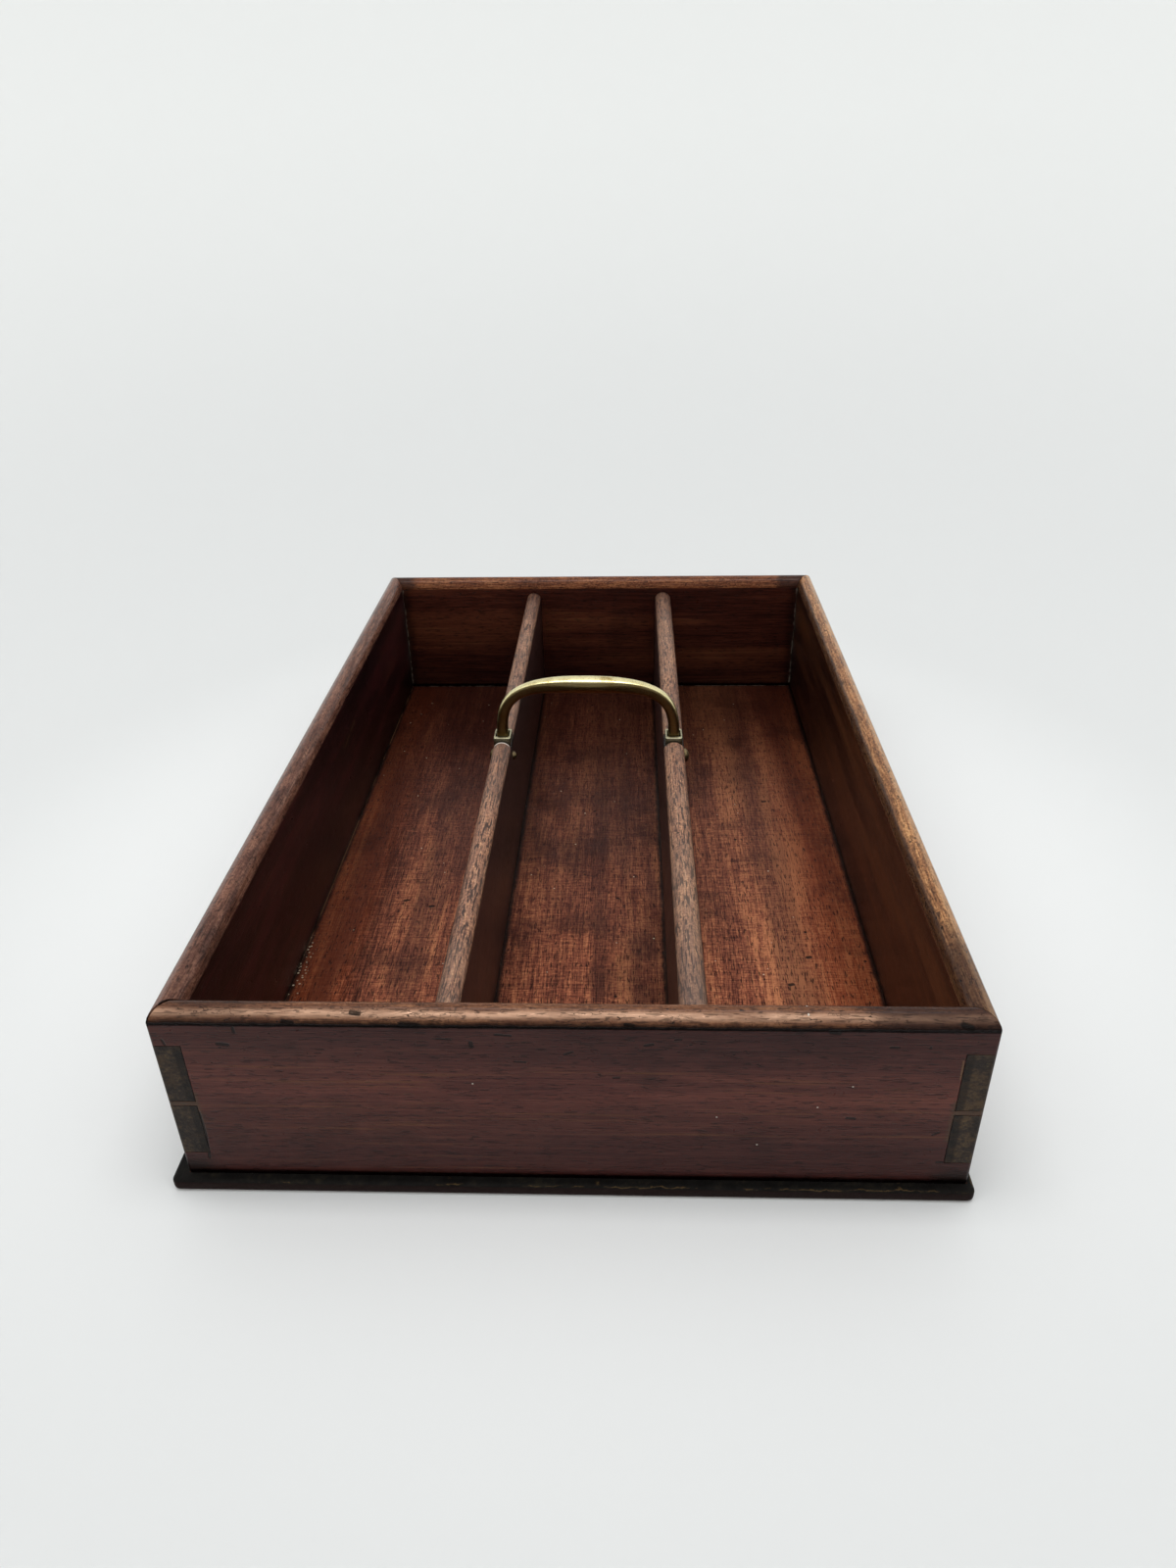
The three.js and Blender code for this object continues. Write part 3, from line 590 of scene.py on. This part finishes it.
    def ends(self, body, ochre_ends):
        """Grubby end grain of the tails or pins that come through at the corners."""
        sh, grain = self.shader, self.grain
        tone = sh.plus(sh.times(grain.grit, 0.40), sh.times(grain.dirt, 0.60))
        ends = sh.shades(tone, *END_GRAIN_TONES)
        ochre = sh.noise((9, 9, 5), 4.0, 0.7, self.shift + 53)
        ends = sh.stain(ends, sh.step(ochre, 0.44, 0.66), 0.25 + ochre_ends, linear(98, 74, 48))
        return sh.mix(sh.times(self.end_grain, self.below), body, ends)

    def pins(self, body):
        """The thin pins between the tails, and the grime at the foot of each outer corner."""
        sh = self.shader
        middle, half = (LEFT[0].x + RIGHT[1].x) / 2, (RIGHT[1].x - LEFT[0].x) / 2
        past_end = sh.minus(sh.size(sh.minus(sh.x, middle)), half)
        pin = sh.times(sh.step(past_end, -11 * MM, -9 * MM), sh.band(sh.z, 24 * MM, 42 * MM, 1 * MM))
        body = sh.stain(body, pin, 0.75, linear(66, 52, 38))
        grime = sh.minus(past_end, sh.times(sh.minus(self.grain.dirt, 0.5), 16 * MM))
        grime = sh.times(sh.step(grime, -15 * MM, -5 * MM), sh.step(sh.z, 15 * MM, 8 * MM))
        return sh.stain(body, grime, 0.8, linear(15, 11, 9))

    def inner_corners(self, body):
        """Painted shade down the inner corners, with a thin broken line of old glue at the far ones."""
        sh, grain = self.shader, self.grain
        inner = sh.times(sh.step(self.depth, 6 * MM, 7 * MM), self.below)
        corner_shade = sh.step(sh.wander(self.corner, grain.dirt, 6 * MM), 7 * MM, 1 * MM)
        body = sh.stain(body, sh.times(corner_shade, inner), 0.6, linear(9, 5, 5))
        glue = sh.times(sh.step(self.corner, 0.9 * MM, 0.5 * MM), sh.step(grain.dirt, 0.46, 0.58))
        glue = sh.times(glue, sh.step(sh.y, 150 * MM, 170 * MM))
        glue = sh.times(glue, sh.less(self.end_grain))
        return sh.stain(body, sh.times(glue, inner), 0.5, OLD_GLUE)

    def crest(self, rim_tones, rubbed_and_highlight_tone):
        """The rim: rubbed pale on its shoulder, with a painted highlight there on the front and back,
        and painted shade, nearly black, where it rolls under to the outer face.
        """
        sh, grain = self.shader, self.grain
        tone = sh.plus(sh.times(self.worn, 0.42), sh.times(grain.line, 0.30))
        tone = sh.plus(tone, sh.times(grain.grit, 0.28))
        crest = sh.shades(tone, *rim_tones)
        crest = grain.fibres(crest, linear(44, 23, 16), linear(180, 132, 96), 0.20)
        crest = sh.stain(crest, self.patchy, 0.80, linear(38, 20, 17))
        # worn pale band, which on the front and back rims is also a painted highlight
        rubbed = sh.times(self.shoulder, sh.band(self.lift, 2.5 * MM, 5.6 * MM, 0.7 * MM))
        rubbed = sh.times(rubbed, sh.less(sh.times(self.patchy, 0.75)))
        rubbed = sh.times(rubbed, sh.step(self.worn, 0.15, 0.65))
        crest = sh.stain(crest, rubbed, 0.90, rubbed_and_highlight_tone)
        crest = sh.mix(self.scars, crest, linear(24, 13, 11))
        # painted shade where the rim rolls under
        crest = sh.stain(crest, self.rolled_under_shade, 0.95, linear(20, 9, 8))
        open_mitre = sh.either(*(sh.mark(sh.x, sh.y, *stroke) for stroke in MITRE_STROKES))
        return sh.stain(crest, open_mitre, 0.85, linear(14, 8, 7))

    def nicks(self, strokes):
        """Small dark nicks below the rim, and strokes in listed places."""
        sh = self.shader
        nicks = sh.noise(stretched(self.along, 3.4, 1.0), 1.0, 0.5, self.shift + 37, 1.2)
        high = sh.step(sh.z, RIM_FOOT - 40 * MM, RIM_FOOT - 4 * MM)
        nicks = sh.times(sh.step(nicks, 0.70, 0.74), high)
        for start, end, width in strokes:
            nicks = sh.either(nicks, sh.mark(self.run, sh.z, start, end, width))
        return nicks

    def pale_marks(self, body, scratches, specks):
        """Scratches through the polish, and white specks."""
        sh = self.shader
        for start, end, width in scratches:
            body = sh.stain(body, sh.mark(self.run, sh.z, start, end, width), 0.5, BARE_OCHRE)
        for start in specks:
            end = (start[0] + SPECK_WIDTH, start[1])
            body = sh.mix(sh.mark(self.run, sh.z, start, end, SPECK_WIDTH), body, linear(206, 198, 186))
        return body

    def relief(self, nicks):
        """Heights of the surface marks, and a rim that is rounder outside than the board's."""
        sh, grain = self.shader, self.grain
        roll = sh.times(sh.step(self.lift, 0.0, 3.0 * MM), sh.step(self.lift, 4.6 * MM, 3.0 * MM))
        height = sh.minus(sh.times(grain.line, 0.35), sh.times(grain.pore, 0.5))
        height = sh.minus(height, sh.times(sh.times(self.scars, self.rim), 0.8))
        height = sh.minus(height, sh.times(nicks, 1.5))
        height = sh.plus(height, sh.times(self.worn, 0.3))
        height = sh.minus(height, sh.times(self.quirk_shadow_line, 2.0))
        return sh.plus(height, sh.times(sh.times(self.outer_half, roll), SHOULDER_RISE))

    def sheen(self):
        """Tinted light from the rubbed fibres of the rim, and next to none from the painted shade under
        the rim and at the foot.
        """
        sh = self.shader
        fibre = sh.times(self.shoulder, sh.step(self.lift, 1.9 * MM, 3.2 * MM))
        fibre = sh.times(fibre, sh.step(self.worn, 0.10, 0.60))
        fibre = sh.times(fibre, sh.less(sh.times(self.patchy, 0.6)))
        fibre = sh.times(fibre, END_RIM_SHEEN if self.along == "X" else SIDE_RIM_SHEEN)
        shade_lines = sh.either(self.quirk_shadow_line, sh.either(self.foot, sh.times(self.rolled_under_shade, self.rim)))
        return sh.either(fibre, sh.times(shade_lines, WALL_SHADE_SHEEN))


def wall_wood(
    wall, inner_tones, rim_tones, rubbed_and_highlight_tone,
    ochre_ends=0.0, strokes=(), scratches=(), specks=(),
):
    """A wall: polished faces, a rubbed rim, grubby end grain and the marks in its outer face."""
    sh = wall.shader
    nicks = wall.nicks(strokes)
    body = wall.ends(wall.faces(inner_tones), ochre_ends)
    if wall.along == "X":
        body = wall.pins(body)
    body = wall.inner_corners(body)
    body = sh.mix(wall.rim, body, wall.crest(rim_tones, rubbed_and_highlight_tone))
    body = sh.stain(body, nicks, 0.85, NICK_BLACK)
    body = wall.pale_marks(body, scratches, specks)
    # painted shade: near-black lines under the rim and at the wall's foot
    body = sh.stain(body, wall.quirk_shadow_line, 0.9, linear(6, 3, 3))
    body = sh.stain(body, wall.foot, 0.92, linear(8, 4, 4))
    rough = sh.plus(0.23, sh.times(wall.grain.dirt, 0.14))
    rough = sh.plus(rough, sh.times(sh.times(wall.end_grain, wall.below), 0.22))
    rough = sh.minus(rough, sh.times(wall.rim, 0.07))
    height = wall.relief(nicks)
    return sh.finish(body, rough, height, WALL_BUMP, metallic=wall.sheen(), specular=POLISH_SPECULAR)


def divider_top(sh, grain, dash, shift, near_grime):
    """The round top: dry and rubbed, darker beside the handle and grimy toward both ends."""
    tone = sh.plus(sh.times(grain.tone, 0.60), sh.times(grain.grit, 0.40))
    top = sh.shades(tone, *DIVIDER_TOP_TONES)
    top = grain.fibres(top, linear(70, 42, 34), linear(214, 176, 146), 0.5)
    top = sh.stain(top, sh.either(dash, grain.pore), 0.9, linear(42, 23, 18))
    grey = sh.step(sh.noise((30, 40, 30), 2.0, 0.5, shift + 29), 0.42, 0.6)
    top = sh.stain(top, grey, 0.35, linear(116, 94, 80))
    beside_handle = sh.band(sh.y, -60 * MM, 110 * MM, 40 * MM)
    top = sh.stain(top, beside_handle, 0.22, linear(84, 56, 46))
    far = sh.step(sh.wander(sh.y, grain.dirt, 30 * MM), 110 * MM, 180 * MM)
    top = sh.stain(top, far, 0.65, linear(56, 32, 26))
    near = sh.step(sh.y, -120 * MM, -165 * MM)
    return sh.stain(top, near, near_grime, linear(92, 74, 66))


def divider_wood(name, shift, near_grime, worn_lip_and_glint):
    """A divider: dark polished sides and a dry, rubbed round top."""
    sh = Shader(name)
    grain = Grain(sh, "Y", shift)
    dash = sh.step(sh.noise((0.75, 7, 0.75), 1.0, 0.5, shift + 47), 0.56, 0.63)
    crown = sh.step(sh.z, DIVIDER_TOP - 3.9 * MM, DIVIDER_TOP - 2.4 * MM)
    sides = sh.shades(grain.tone, *DIVIDER_TONES)
    sides = grain.fibres(sides, linear(22, 9, 8), linear(96, 58, 44), 0.3)
    sides = sh.stain(sides, grain.pore, 0.4, linear(16, 7, 6))
    body = sh.mix(crown, sides, divider_top(sh, grain, dash, shift, near_grime))
    # painted shade in and beside the notch that holds the collar, and a painted glint on its worn near
    # edge
    notch_shade = sh.step(sh.size(sh.y), 6.2 * MM, 5.8 * MM)
    notch_shade = sh.times(notch_shade, sh.step(sh.z, DIVIDER_TOP - 5 * MM, DIVIDER_TOP - 4 * MM))
    body = sh.stain(body, notch_shade, 0.95, linear(5, 3, 3))
    if worn_lip_and_glint:
        worn_lip_glint = sh.band(sh.y, -6.9 * MM, -6.1 * MM, 0.15 * MM)
        worn_lip_glint = sh.times(worn_lip_glint, sh.step(sh.z, DIVIDER_TOP - 2.2 * MM, DIVIDER_TOP - 1.2 * MM))
        body = sh.stain(body, worn_lip_glint, 0.8, linear(224, 212, 200))
    # dirt and painted shade where the divider meets the floor
    foot = sh.plus(sh.z, sh.times(grain.dirt, 1.6 * MM))
    body = sh.stain(body, sh.step(foot, FLOOR + 2.6 * MM, FLOOR + 0.6 * MM), 0.85, DIRT_AND_SHADE)
    rough = sh.plus(sh.times(crown, 0.16), sh.plus(0.32, sh.times(grain.dirt, 0.14)))
    height = sh.minus(sh.times(grain.line, 0.4), sh.times(grain.pore, 0.8))
    height = sh.minus(height, sh.times(sh.times(dash, crown), 0.8))
    return sh.finish(body, rough, height, DIVIDER_BUMP, specular=DRY_SPECULAR)


def brass(name, bright, dull, pitted, shade_film, tarnish, shade_browning, polish):
    """Old brass: bright where it is handled and tarnished below, with a fine pitted grain. Its brown
    film in front, behind and underneath is painted shade.
    """
    sh = Shader(name)
    cloud = sh.noise((7, 7, 7), 3.0, 0.6, 2.0)
    fine = sh.noise((0.55, 0.55, 0.55), 3.0, 0.7, 5.0)
    below = sh.step(sh.nz, 0.72, -0.30)
    tone = sh.plus(sh.times(cloud, 0.6), sh.times(fine, 0.4))
    colour = sh.shades(tone, (0.36, dull), (0.50, bright))
    colour = sh.stain(colour, below, tarnish, dull)
    # painted shade: a brown film on the faces turned forward, backward and down
    sides = sh.step(sh.size(sh.ny), 0.50, 0.95)
    under = sh.step(sh.nz, 0.15, -0.40)
    brown = sh.wander(sh.either(sides, under), cloud, 0.5)
    colour = sh.stain(colour, sh.step(brown, 0.1, 0.9), shade_browning, shade_film)
    pits = sh.step(sh.plus(fine, sh.times(below, 0.10)), 0.54, 0.66)
    colour = sh.stain(colour, pits, 0.55, pitted)
    rough = sh.plus(polish, sh.times(fine, 0.12))
    rough = sh.plus(rough, sh.times(below, 0.05))
    height = sh.plus(sh.times(cloud, 0.2), sh.times(fine, 0.35))
    return sh.finish(colour, rough, height, BRASS_BUMP, metallic=1.0)


def plain_iron(name):
    """Rusty iron of the nails under the base."""
    sh = Shader(name)
    rust = sh.noise((1.2, 1.2, 1.2), 4.0, 0.65, 3.0)
    return sh.finish(sh.shades(rust, *RUST_TONES), 0.72, rust, IRON_BUMP, metallic=0.6)


def new_object(name, data, material):
    """A new object of the scene, made of one material."""
    piece = bpy.data.objects.new(name, data)
    bpy.context.scene.collection.objects.link(piece)
    piece.data.materials.append(material)
    return piece


def smooth_edges_group():
    """Geometry nodes that join the facets and shade them smooth, except at sharp corners."""
    group = bpy.data.node_groups.new("smooth_by_angle", "GeometryNodeTree")
    group.interface.new_socket("Geometry", in_out="INPUT", socket_type="NodeSocketGeometry")
    group.interface.new_socket("Geometry", in_out="OUTPUT", socket_type="NodeSocketGeometry")
    start = group.nodes.new("NodeGroupInput")
    end = group.nodes.new("NodeGroupOutput")
    weld = group.nodes.new("GeometryNodeMergeByDistance")
    weld.inputs["Distance"].default_value = WELD_DISTANCE * MM
    faces = group.nodes.new("GeometryNodeSetShadeSmooth")
    faces.domain = "FACE"
    edges = group.nodes.new("GeometryNodeSetShadeSmooth")
    edges.domain = "EDGE"
    edges.inputs["Shade Smooth"].default_value = False
    angle = group.nodes.new("GeometryNodeInputMeshEdgeAngle")
    sharp = group.nodes.new("FunctionNodeCompare")
    sharp.data_type = "FLOAT"
    sharp.operation = "GREATER_THAN"
    sharp.inputs[1].default_value = SHARP_ANGLE
    link = group.links.new
    link(start.outputs[0], weld.inputs["Geometry"])
    link(weld.outputs["Geometry"], faces.inputs["Geometry"])
    link(faces.outputs["Geometry"], edges.inputs["Geometry"])
    link(angle.outputs["Unsigned Angle"], sharp.inputs[0])
    link(sharp.outputs["Result"], edges.inputs["Selection"])
    link(edges.outputs["Geometry"], end.inputs[0])
    return group


SMOOTH = smooth_edges_group()


def dress(node, material, bevel=0.0):
    """Gives a CAD node its material, smooth facets and slightly rounded corners."""
    piece = nodes[node]
    if "custom_normal" in piece.data.attributes:
        piece.data.attributes.remove(piece.data.attributes["custom_normal"])
    piece.data.materials.clear()
    piece.data.materials.append(material)
    smoothing = piece.modifiers.new("smooth_by_angle", "NODES")
    smoothing.node_group = SMOOTH
    if bevel:
        rounding = piece.modifiers.new("worn_corners", "BEVEL")
        rounding.width = bevel * MM
        rounding.segments = CORNER_SEGMENTS
        rounding.limit_method = "ANGLE"
        rounding.angle_limit = CORNER_ANGLE
        rounding.use_clamp_overlap = True
        rounding.harden_normals = False


def squared(value, power):
    """A sine or cosine bent toward a squarer curve, with its sign."""
    return math.copysign(abs(value) ** power, value)


def bail_point(t):
    """A point on the bail's middle line, from the left foot at 0 to the right foot at 1."""
    angle = math.pi * (1 - t)
    power = 2 / BAIL_SQUARENESS
    x = (BAIL_RIGHT - BAIL_LEFT) / 2 * squared(math.cos(angle), power)
    up = abs(math.sin(angle)) ** power
    rise = (GRIP_RISE + NOTCH_DEPTH) * MM
    return Vector((BAIL_MIDDLE + x, 0.0, NOTCH_FLOOR + rise * up - BAIL_LEAN * x * up))


def half_size(leg, grip, foot, swell, flare):
    """Half the width or depth of a section, between those of the leg, the grip and the foot."""
    return (leg + (grip - leg) * swell + (foot - leg) * flare) / 2


def bail_ring(centre, outward):
    """The points round one section of the bail, with the small unevenness of a filed casting."""
    offset = min(abs(centre.x - BAIL_MIDDLE) / (SWELL_HALF_LENGTH * MM), 1)
    swell = math.cos(offset * math.pi / 2) ** 2
    flare = max(1 - (centre.z - NOTCH_FLOOR) / (FOOT_FLARE_HEIGHT * MM), 0) ** 2
    half_width = half_size(LEG_WIDTH, GRIP_HEIGHT, FOOT_WIDTH, swell, flare)
    half_depth = half_size(LEG_DEPTH, GRIP_DEPTH, FOOT_DEPTH, swell, flare)
    power = 2 / (LEG_SQUARENESS - GRIP_ROUNDING * swell)
    ring = []
    for j in range(RING_POINTS):
        turn = 2 * math.pi * (j + 0.5) / RING_POINTS
        out = squared(math.cos(turn), power) * half_width
        along = squared(math.sin(turn), power) * half_depth
        point = centre + outward * (out * MM) + Vector((0, along * MM, 0))
        uneven = sum(noise.noise(point / (size * MM)) * height for size, height in FILE_WAVES)
        direction = (point - centre).normalized()
        ring.append(point + direction * min(uneven, 0.0) * MM)
    return ring


def bail_rings():
    """Rings at even distances along the bail. Its feet stand square on the collars."""
    samples = [bail_point(i / BAIL_SAMPLES) for i in range(BAIL_SAMPLES + 1)]
    lengths = [0.0]
    for a, b in zip(samples, samples[1:]):
        lengths.append(lengths[-1] + (b - a).length)
    rings = []
    for i in range(BAIL_STEPS + 1):
        k = min(bisect_left(lengths, lengths[-1] * i / BAIL_STEPS), BAIL_SAMPLES)
        ahead = samples[min(k + TANGENT_REACH, BAIL_SAMPLES)]
        behind = samples[max(k - TANGENT_REACH, 0)]
        tangent = (ahead - behind).normalized()
        outward = Vector((-tangent.z, 0, tangent.x))
        if i in (0, BAIL_STEPS):
            outward = Vector((-1 if i == 0 else 1, 0, 0))
        rings.append(bail_ring(samples[k], outward))
    return rings


def cast_bail(material):
    """The brass bail again, on the same curve and sections, with finer rings."""
    points = [tuple(point) for ring in bail_rings() for point in ring]
    faces = []
    for r in range(BAIL_STEPS):
        for j in range(RING_POINTS):
            a, b = r * RING_POINTS + j, r * RING_POINTS + (j + 1) % RING_POINTS
            faces.append((a, a + RING_POINTS, b + RING_POINTS, b))
    faces.append(tuple(range(RING_POINTS)))
    faces.append(tuple(BAIL_STEPS * RING_POINTS + j for j in reversed(range(RING_POINTS))))
    mesh = bpy.data.meshes.new("carrying_handle_cast")
    mesh.from_pydata(points, [], faces)
    mesh.validate()
    mesh.shade_smooth()
    piece = new_object("carrying_handle_cast", mesh, material)
    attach(piece, "root")
    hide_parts("carrying_handle")


def front_dark(sh, depth):
    """The near rim has stayed dark toward the right corner. Toward the left corner it is darker in
    mottles where its painted highlight fades, and its inner half is darker as painted shade.
    """
    right = sh.step(sh.x, 70 * MM, 114 * MM)
    left = sh.times(sh.step(sh.x, -50 * MM, -96 * MM), 0.48)
    inner = sh.times(sh.step(depth, 4 * MM, 8 * MM), 0.44)
    return sh.plus(sh.plus(right, left), inner)


def back_dark(sh, depth):
    """The far rim has stayed dark at both corners."""
    return sh.step(sh.size(sh.x), 96 * MM, 122 * MM)


def left_dark(sh, depth):
    """The left rim is somewhat darker toward its near end."""
    return sh.times(sh.step(sh.y, -110 * MM, -180 * MM), 0.5)


def right_dark(sh, depth):
    """The right rim has stayed dark on its inner side and toward its near end."""
    return sh.either(sh.step(depth, 5.8 * MM, 9.0 * MM), sh.step(sh.y, -125 * MM, -185 * MM))


# Walls, each with the tones of its inner face and rim from dark to light
front_wood = wall_wood(
    Wall("front_wall_wood", "X", FRONT[0].y, side=-1, shift=41.0, dark_rim=front_dark),
    inner_tones=((0.38, linear(28, 11, 9)), (0.50, linear(44, 18, 14)), (0.62, linear(64, 30, 21))),
    rim_tones=((0.36, linear(78, 46, 33)), (0.50, linear(108, 68, 46)), (0.64, linear(148, 102, 72))),
    rubbed_and_highlight_tone=linear(214, 172, 144),
    strokes=FRONT_STROKES,
    scratches=FRONT_SCRATCHES,
    specks=FRONT_SPECKS,
)
back_wood = wall_wood(
    Wall("back_wall_wood", "X", BACK[1].y, side=1, shift=52.0, dark_rim=back_dark),
    inner_tones=((0.38, linear(36, 13, 10)), (0.50, linear(63, 28, 20)), (0.62, linear(88, 46, 30))),
    rim_tones=((0.38, linear(70, 36, 22)), (0.50, linear(112, 64, 40)), (0.62, linear(152, 98, 62))),
    rubbed_and_highlight_tone=linear(176, 122, 86),
)
left_wood = wall_wood(
    Wall("left_wall_wood", "Y", LEFT[0].x, side=-1, shift=63.0, dark_rim=left_dark),
    inner_tones=((0.41, linear(5, 2, 3)), (0.50, linear(24, 8, 12)), (0.59, linear(58, 22, 24))),
    rim_tones=((0.38, linear(62, 36, 29)), (0.50, linear(99, 64, 52)), (0.62, linear(139, 98, 80))),
    rubbed_and_highlight_tone=linear(124, 90, 78),
    scratches=LEFT_SCRATCHES,
)
right_wood = wall_wood(
    Wall("right_wall_wood", "Y", RIGHT[1].x, side=1, shift=74.0, dark_rim=right_dark),
    inner_tones=((0.41, linear(14, 5, 4)), (0.50, linear(35, 16, 9)), (0.59, linear(74, 41, 22))),
    rim_tones=((0.38, linear(84, 52, 33)), (0.50, linear(148, 100, 64)), (0.62, linear(204, 152, 102))),
    rubbed_and_highlight_tone=linear(188, 142, 98),
    ochre_ends=0.2,
)
dress("front_board", front_wood, WALL_CORNER)
dress("back_board", back_wood, WALL_CORNER)
dress("left_side_board", left_wood, WALL_CORNER)
dress("right_side_board", right_wood, WALL_CORNER)
dress("base_board", floor_wood())
left_divider_wood = divider_wood("left_divider_wood", shift=85.0, near_grime=0.1, worn_lip_and_glint=True)
dress("left_divider", left_divider_wood, DIVIDER_CORNER)
right_divider_wood = divider_wood("right_divider_wood", shift=96.0, near_grime=0.55, worn_lip_and_glint=False)
dress("right_divider", right_divider_wood, DIVIDER_CORNER)

# Brass and iron
handle_brass = brass(
    "handle_brass_cast",
    bright=linear(244, 232, 178),
    dull=linear(178, 152, 90),
    pitted=linear(98, 76, 38),
    shade_film=linear(84, 64, 36),
    tarnish=0.60,
    shade_browning=0.86,
    polish=0.22,
)
collar_brass = brass(
    "collar_brass_dull",
    bright=linear(190, 184, 154),
    dull=linear(122, 116, 94),
    pitted=linear(60, 54, 40),
    shade_film=linear(96, 90, 72),
    tarnish=0.50,
    shade_browning=0.30,
    polish=0.30,
)
rivet_brass = brass(
    "rivet_brass_dark",
    bright=linear(134, 116, 84),
    dull=linear(70, 58, 42),
    pitted=linear(28, 22, 16),
    shade_film=linear(50, 40, 30),
    tarnish=0.60,
    shade_browning=0.30,
    polish=0.36,
)
iron = plain_iron("nail_iron_rusty")
cast_bail(handle_brass)
for side in ("left", "right"):
    dress(side + "_handle_collar", collar_brass, COLLAR_CORNER)
    dress(side + "_handle_rivet", rivet_brass)
for name in nodes:
    if name.startswith("base_nail"):
        dress(name, iron)

# Camera where the photograph was taken from
CAMERA_AT = Vector((19.467, -430.907, 293.333)) * MM
YAW = math.radians(-2.493)
PITCH = math.radians(30.348)
ROLL = math.radians(-1.198)
FOCAL_LENGTH = 24.67
SENSOR_WIDTH = 36
NEAREST_SEEN = 0.01


def photo_camera():
    """The scene's camera, turned by yaw, pitch and roll."""
    forward = Vector((
        math.sin(YAW) * math.cos(PITCH),
        math.cos(YAW) * math.cos(PITCH),
        -math.sin(PITCH),
    ))
    level = Vector((math.cos(YAW), -math.sin(YAW), 0))
    upright = level.cross(forward)
    right = level * math.cos(ROLL) + upright * math.sin(ROLL)
    up = upright * math.cos(ROLL) - level * math.sin(ROLL)
    data = bpy.data.cameras.new("camera")
    data.lens = FOCAL_LENGTH
    data.sensor_width = SENSOR_WIDTH
    data.sensor_fit = "AUTO"
    data.clip_start = NEAREST_SEEN
    camera = bpy.data.objects.new("camera", data)
    bpy.context.scene.collection.objects.link(camera)
    turn = Matrix((right, up, -forward)).transposed()
    camera.matrix_world = Matrix.Translation(CAMERA_AT) @ turn.to_4x4()
    bpy.context.scene.camera = camera


# Pale paper that curves up all round, open to a bright sky above, with painted shade outward and behind
# the camera and painted light higher up
GROUND_RADIUS = 0.30
BEND_RADIUS = 0.52
BEND_ANGLE = math.radians(64)
BEND_STEPS = 16
BACKDROP_HEIGHT = 1.15
BACKDROP_POINTS = 96
PAPER = linear(235, 236, 236)
PAPER_SHADED_EDGE = linear(221, 222, 222)
PAPER_LIT_HIGH = linear(237, 238, 237)
PAPER_DIM = linear(182, 182, 182)
SKY_COLOUR = (0.99, 1.0, 0.995, 1)
SKY_STRENGTH = 1.02
LAMP_AT = Vector((0.0, -0.12, 0.95))
LAMP_AIM = Vector((0, -0.02, 0.05))
LAMP_WIDTH = 0.70
LAMP_DEPTH = 0.20
LAMP_POWER = 2.8


def paper():
    """Paper with painted shade, a soft even falloff outward and a dim side, and painted light higher up.
    """
    sh = Shader("pale_paper")
    radius = sh.math("SQRT", sh.plus(sh.times(sh.x, sh.x), sh.times(sh.y, sh.y)))
    colour = sh.mix(sh.step(radius, 0.18, 0.34), PAPER, PAPER_SHADED_EDGE)
    colour = sh.mix(sh.step(sh.z, 0.02, 0.34), colour, PAPER_LIT_HIGH)
    colour = sh.mix(sh.step(sh.y, -0.46, -1.0), colour, PAPER_DIM)
    surface = sh.new("ShaderNodeBsdfDiffuse", {"Color": colour})
    sh.new("ShaderNodeOutputMaterial", {"Surface": surface.outputs[0]})
    return sh.material


def backdrop_profile():
    """Radius and height of the paper from the flat ground, round the bend and up the cone."""
    profile = [(GROUND_RADIUS, 0.0)]
    for i in range(1, BEND_STEPS + 1):
        turn = BEND_ANGLE * i / BEND_STEPS
        radius = GROUND_RADIUS + BEND_RADIUS * math.sin(turn)
        profile.append((radius, BEND_RADIUS * (1 - math.cos(turn))))
    radius, height = profile[-1]
    profile.append((radius + (BACKDROP_HEIGHT - height) / math.tan(BEND_ANGLE), BACKDROP_HEIGHT))
    return profile


def backdrop():
    """The paper, as rings round a middle point."""
    around = BACKDROP_POINTS
    profile = backdrop_profile()
    points = [(0.0, 0.0, 0.0)]
    for radius, height in profile:
        for j in range(around):
            turn = 2 * math.pi * j / around
            points.append((radius * math.cos(turn), radius * math.sin(turn), height))
    faces = [(0, 1 + j, 1 + (j + 1) % around) for j in range(around)]
    for i in range(len(profile) - 1):
        for j in range(around):
            a, b = 1 + i * around + j, 1 + i * around + (j + 1) % around
            faces.append((a, a + around, b + around, b))
    mesh = bpy.data.meshes.new("backdrop")
    mesh.from_pydata(points, [], faces)
    mesh.shade_smooth()
    new_object("backdrop", mesh, paper())


def sky():
    """An even bright sky."""
    world = bpy.data.worlds.new("studio")
    bpy.context.scene.world = world
    world.use_nodes = True
    background = world.node_tree.nodes["Background"]
    background.inputs["Color"].default_value = SKY_COLOUR
    background.inputs["Strength"].default_value = SKY_STRENGTH


def overhead_light():
    """One wide weak lamp above the tray, which draws the highlights of the brass and the rims."""
    data = bpy.data.lights.new("overhead_light", "AREA")
    data.shape = "RECTANGLE"
    data.size = LAMP_WIDTH
    data.size_y = LAMP_DEPTH
    data.energy = LAMP_POWER
    lamp = bpy.data.objects.new("overhead_light", data)
    bpy.context.scene.collection.objects.link(lamp)
    lamp.location = LAMP_AT
    lamp.rotation_mode = "QUATERNION"
    lamp.rotation_quaternion = (LAMP_AIM - LAMP_AT).to_track_quat("-Z", "Y")
    lamp.visible_camera = False


photo_camera()
backdrop()
sky()
overhead_light()

scene = bpy.context.scene
scene.view_settings.view_transform = "Standard"
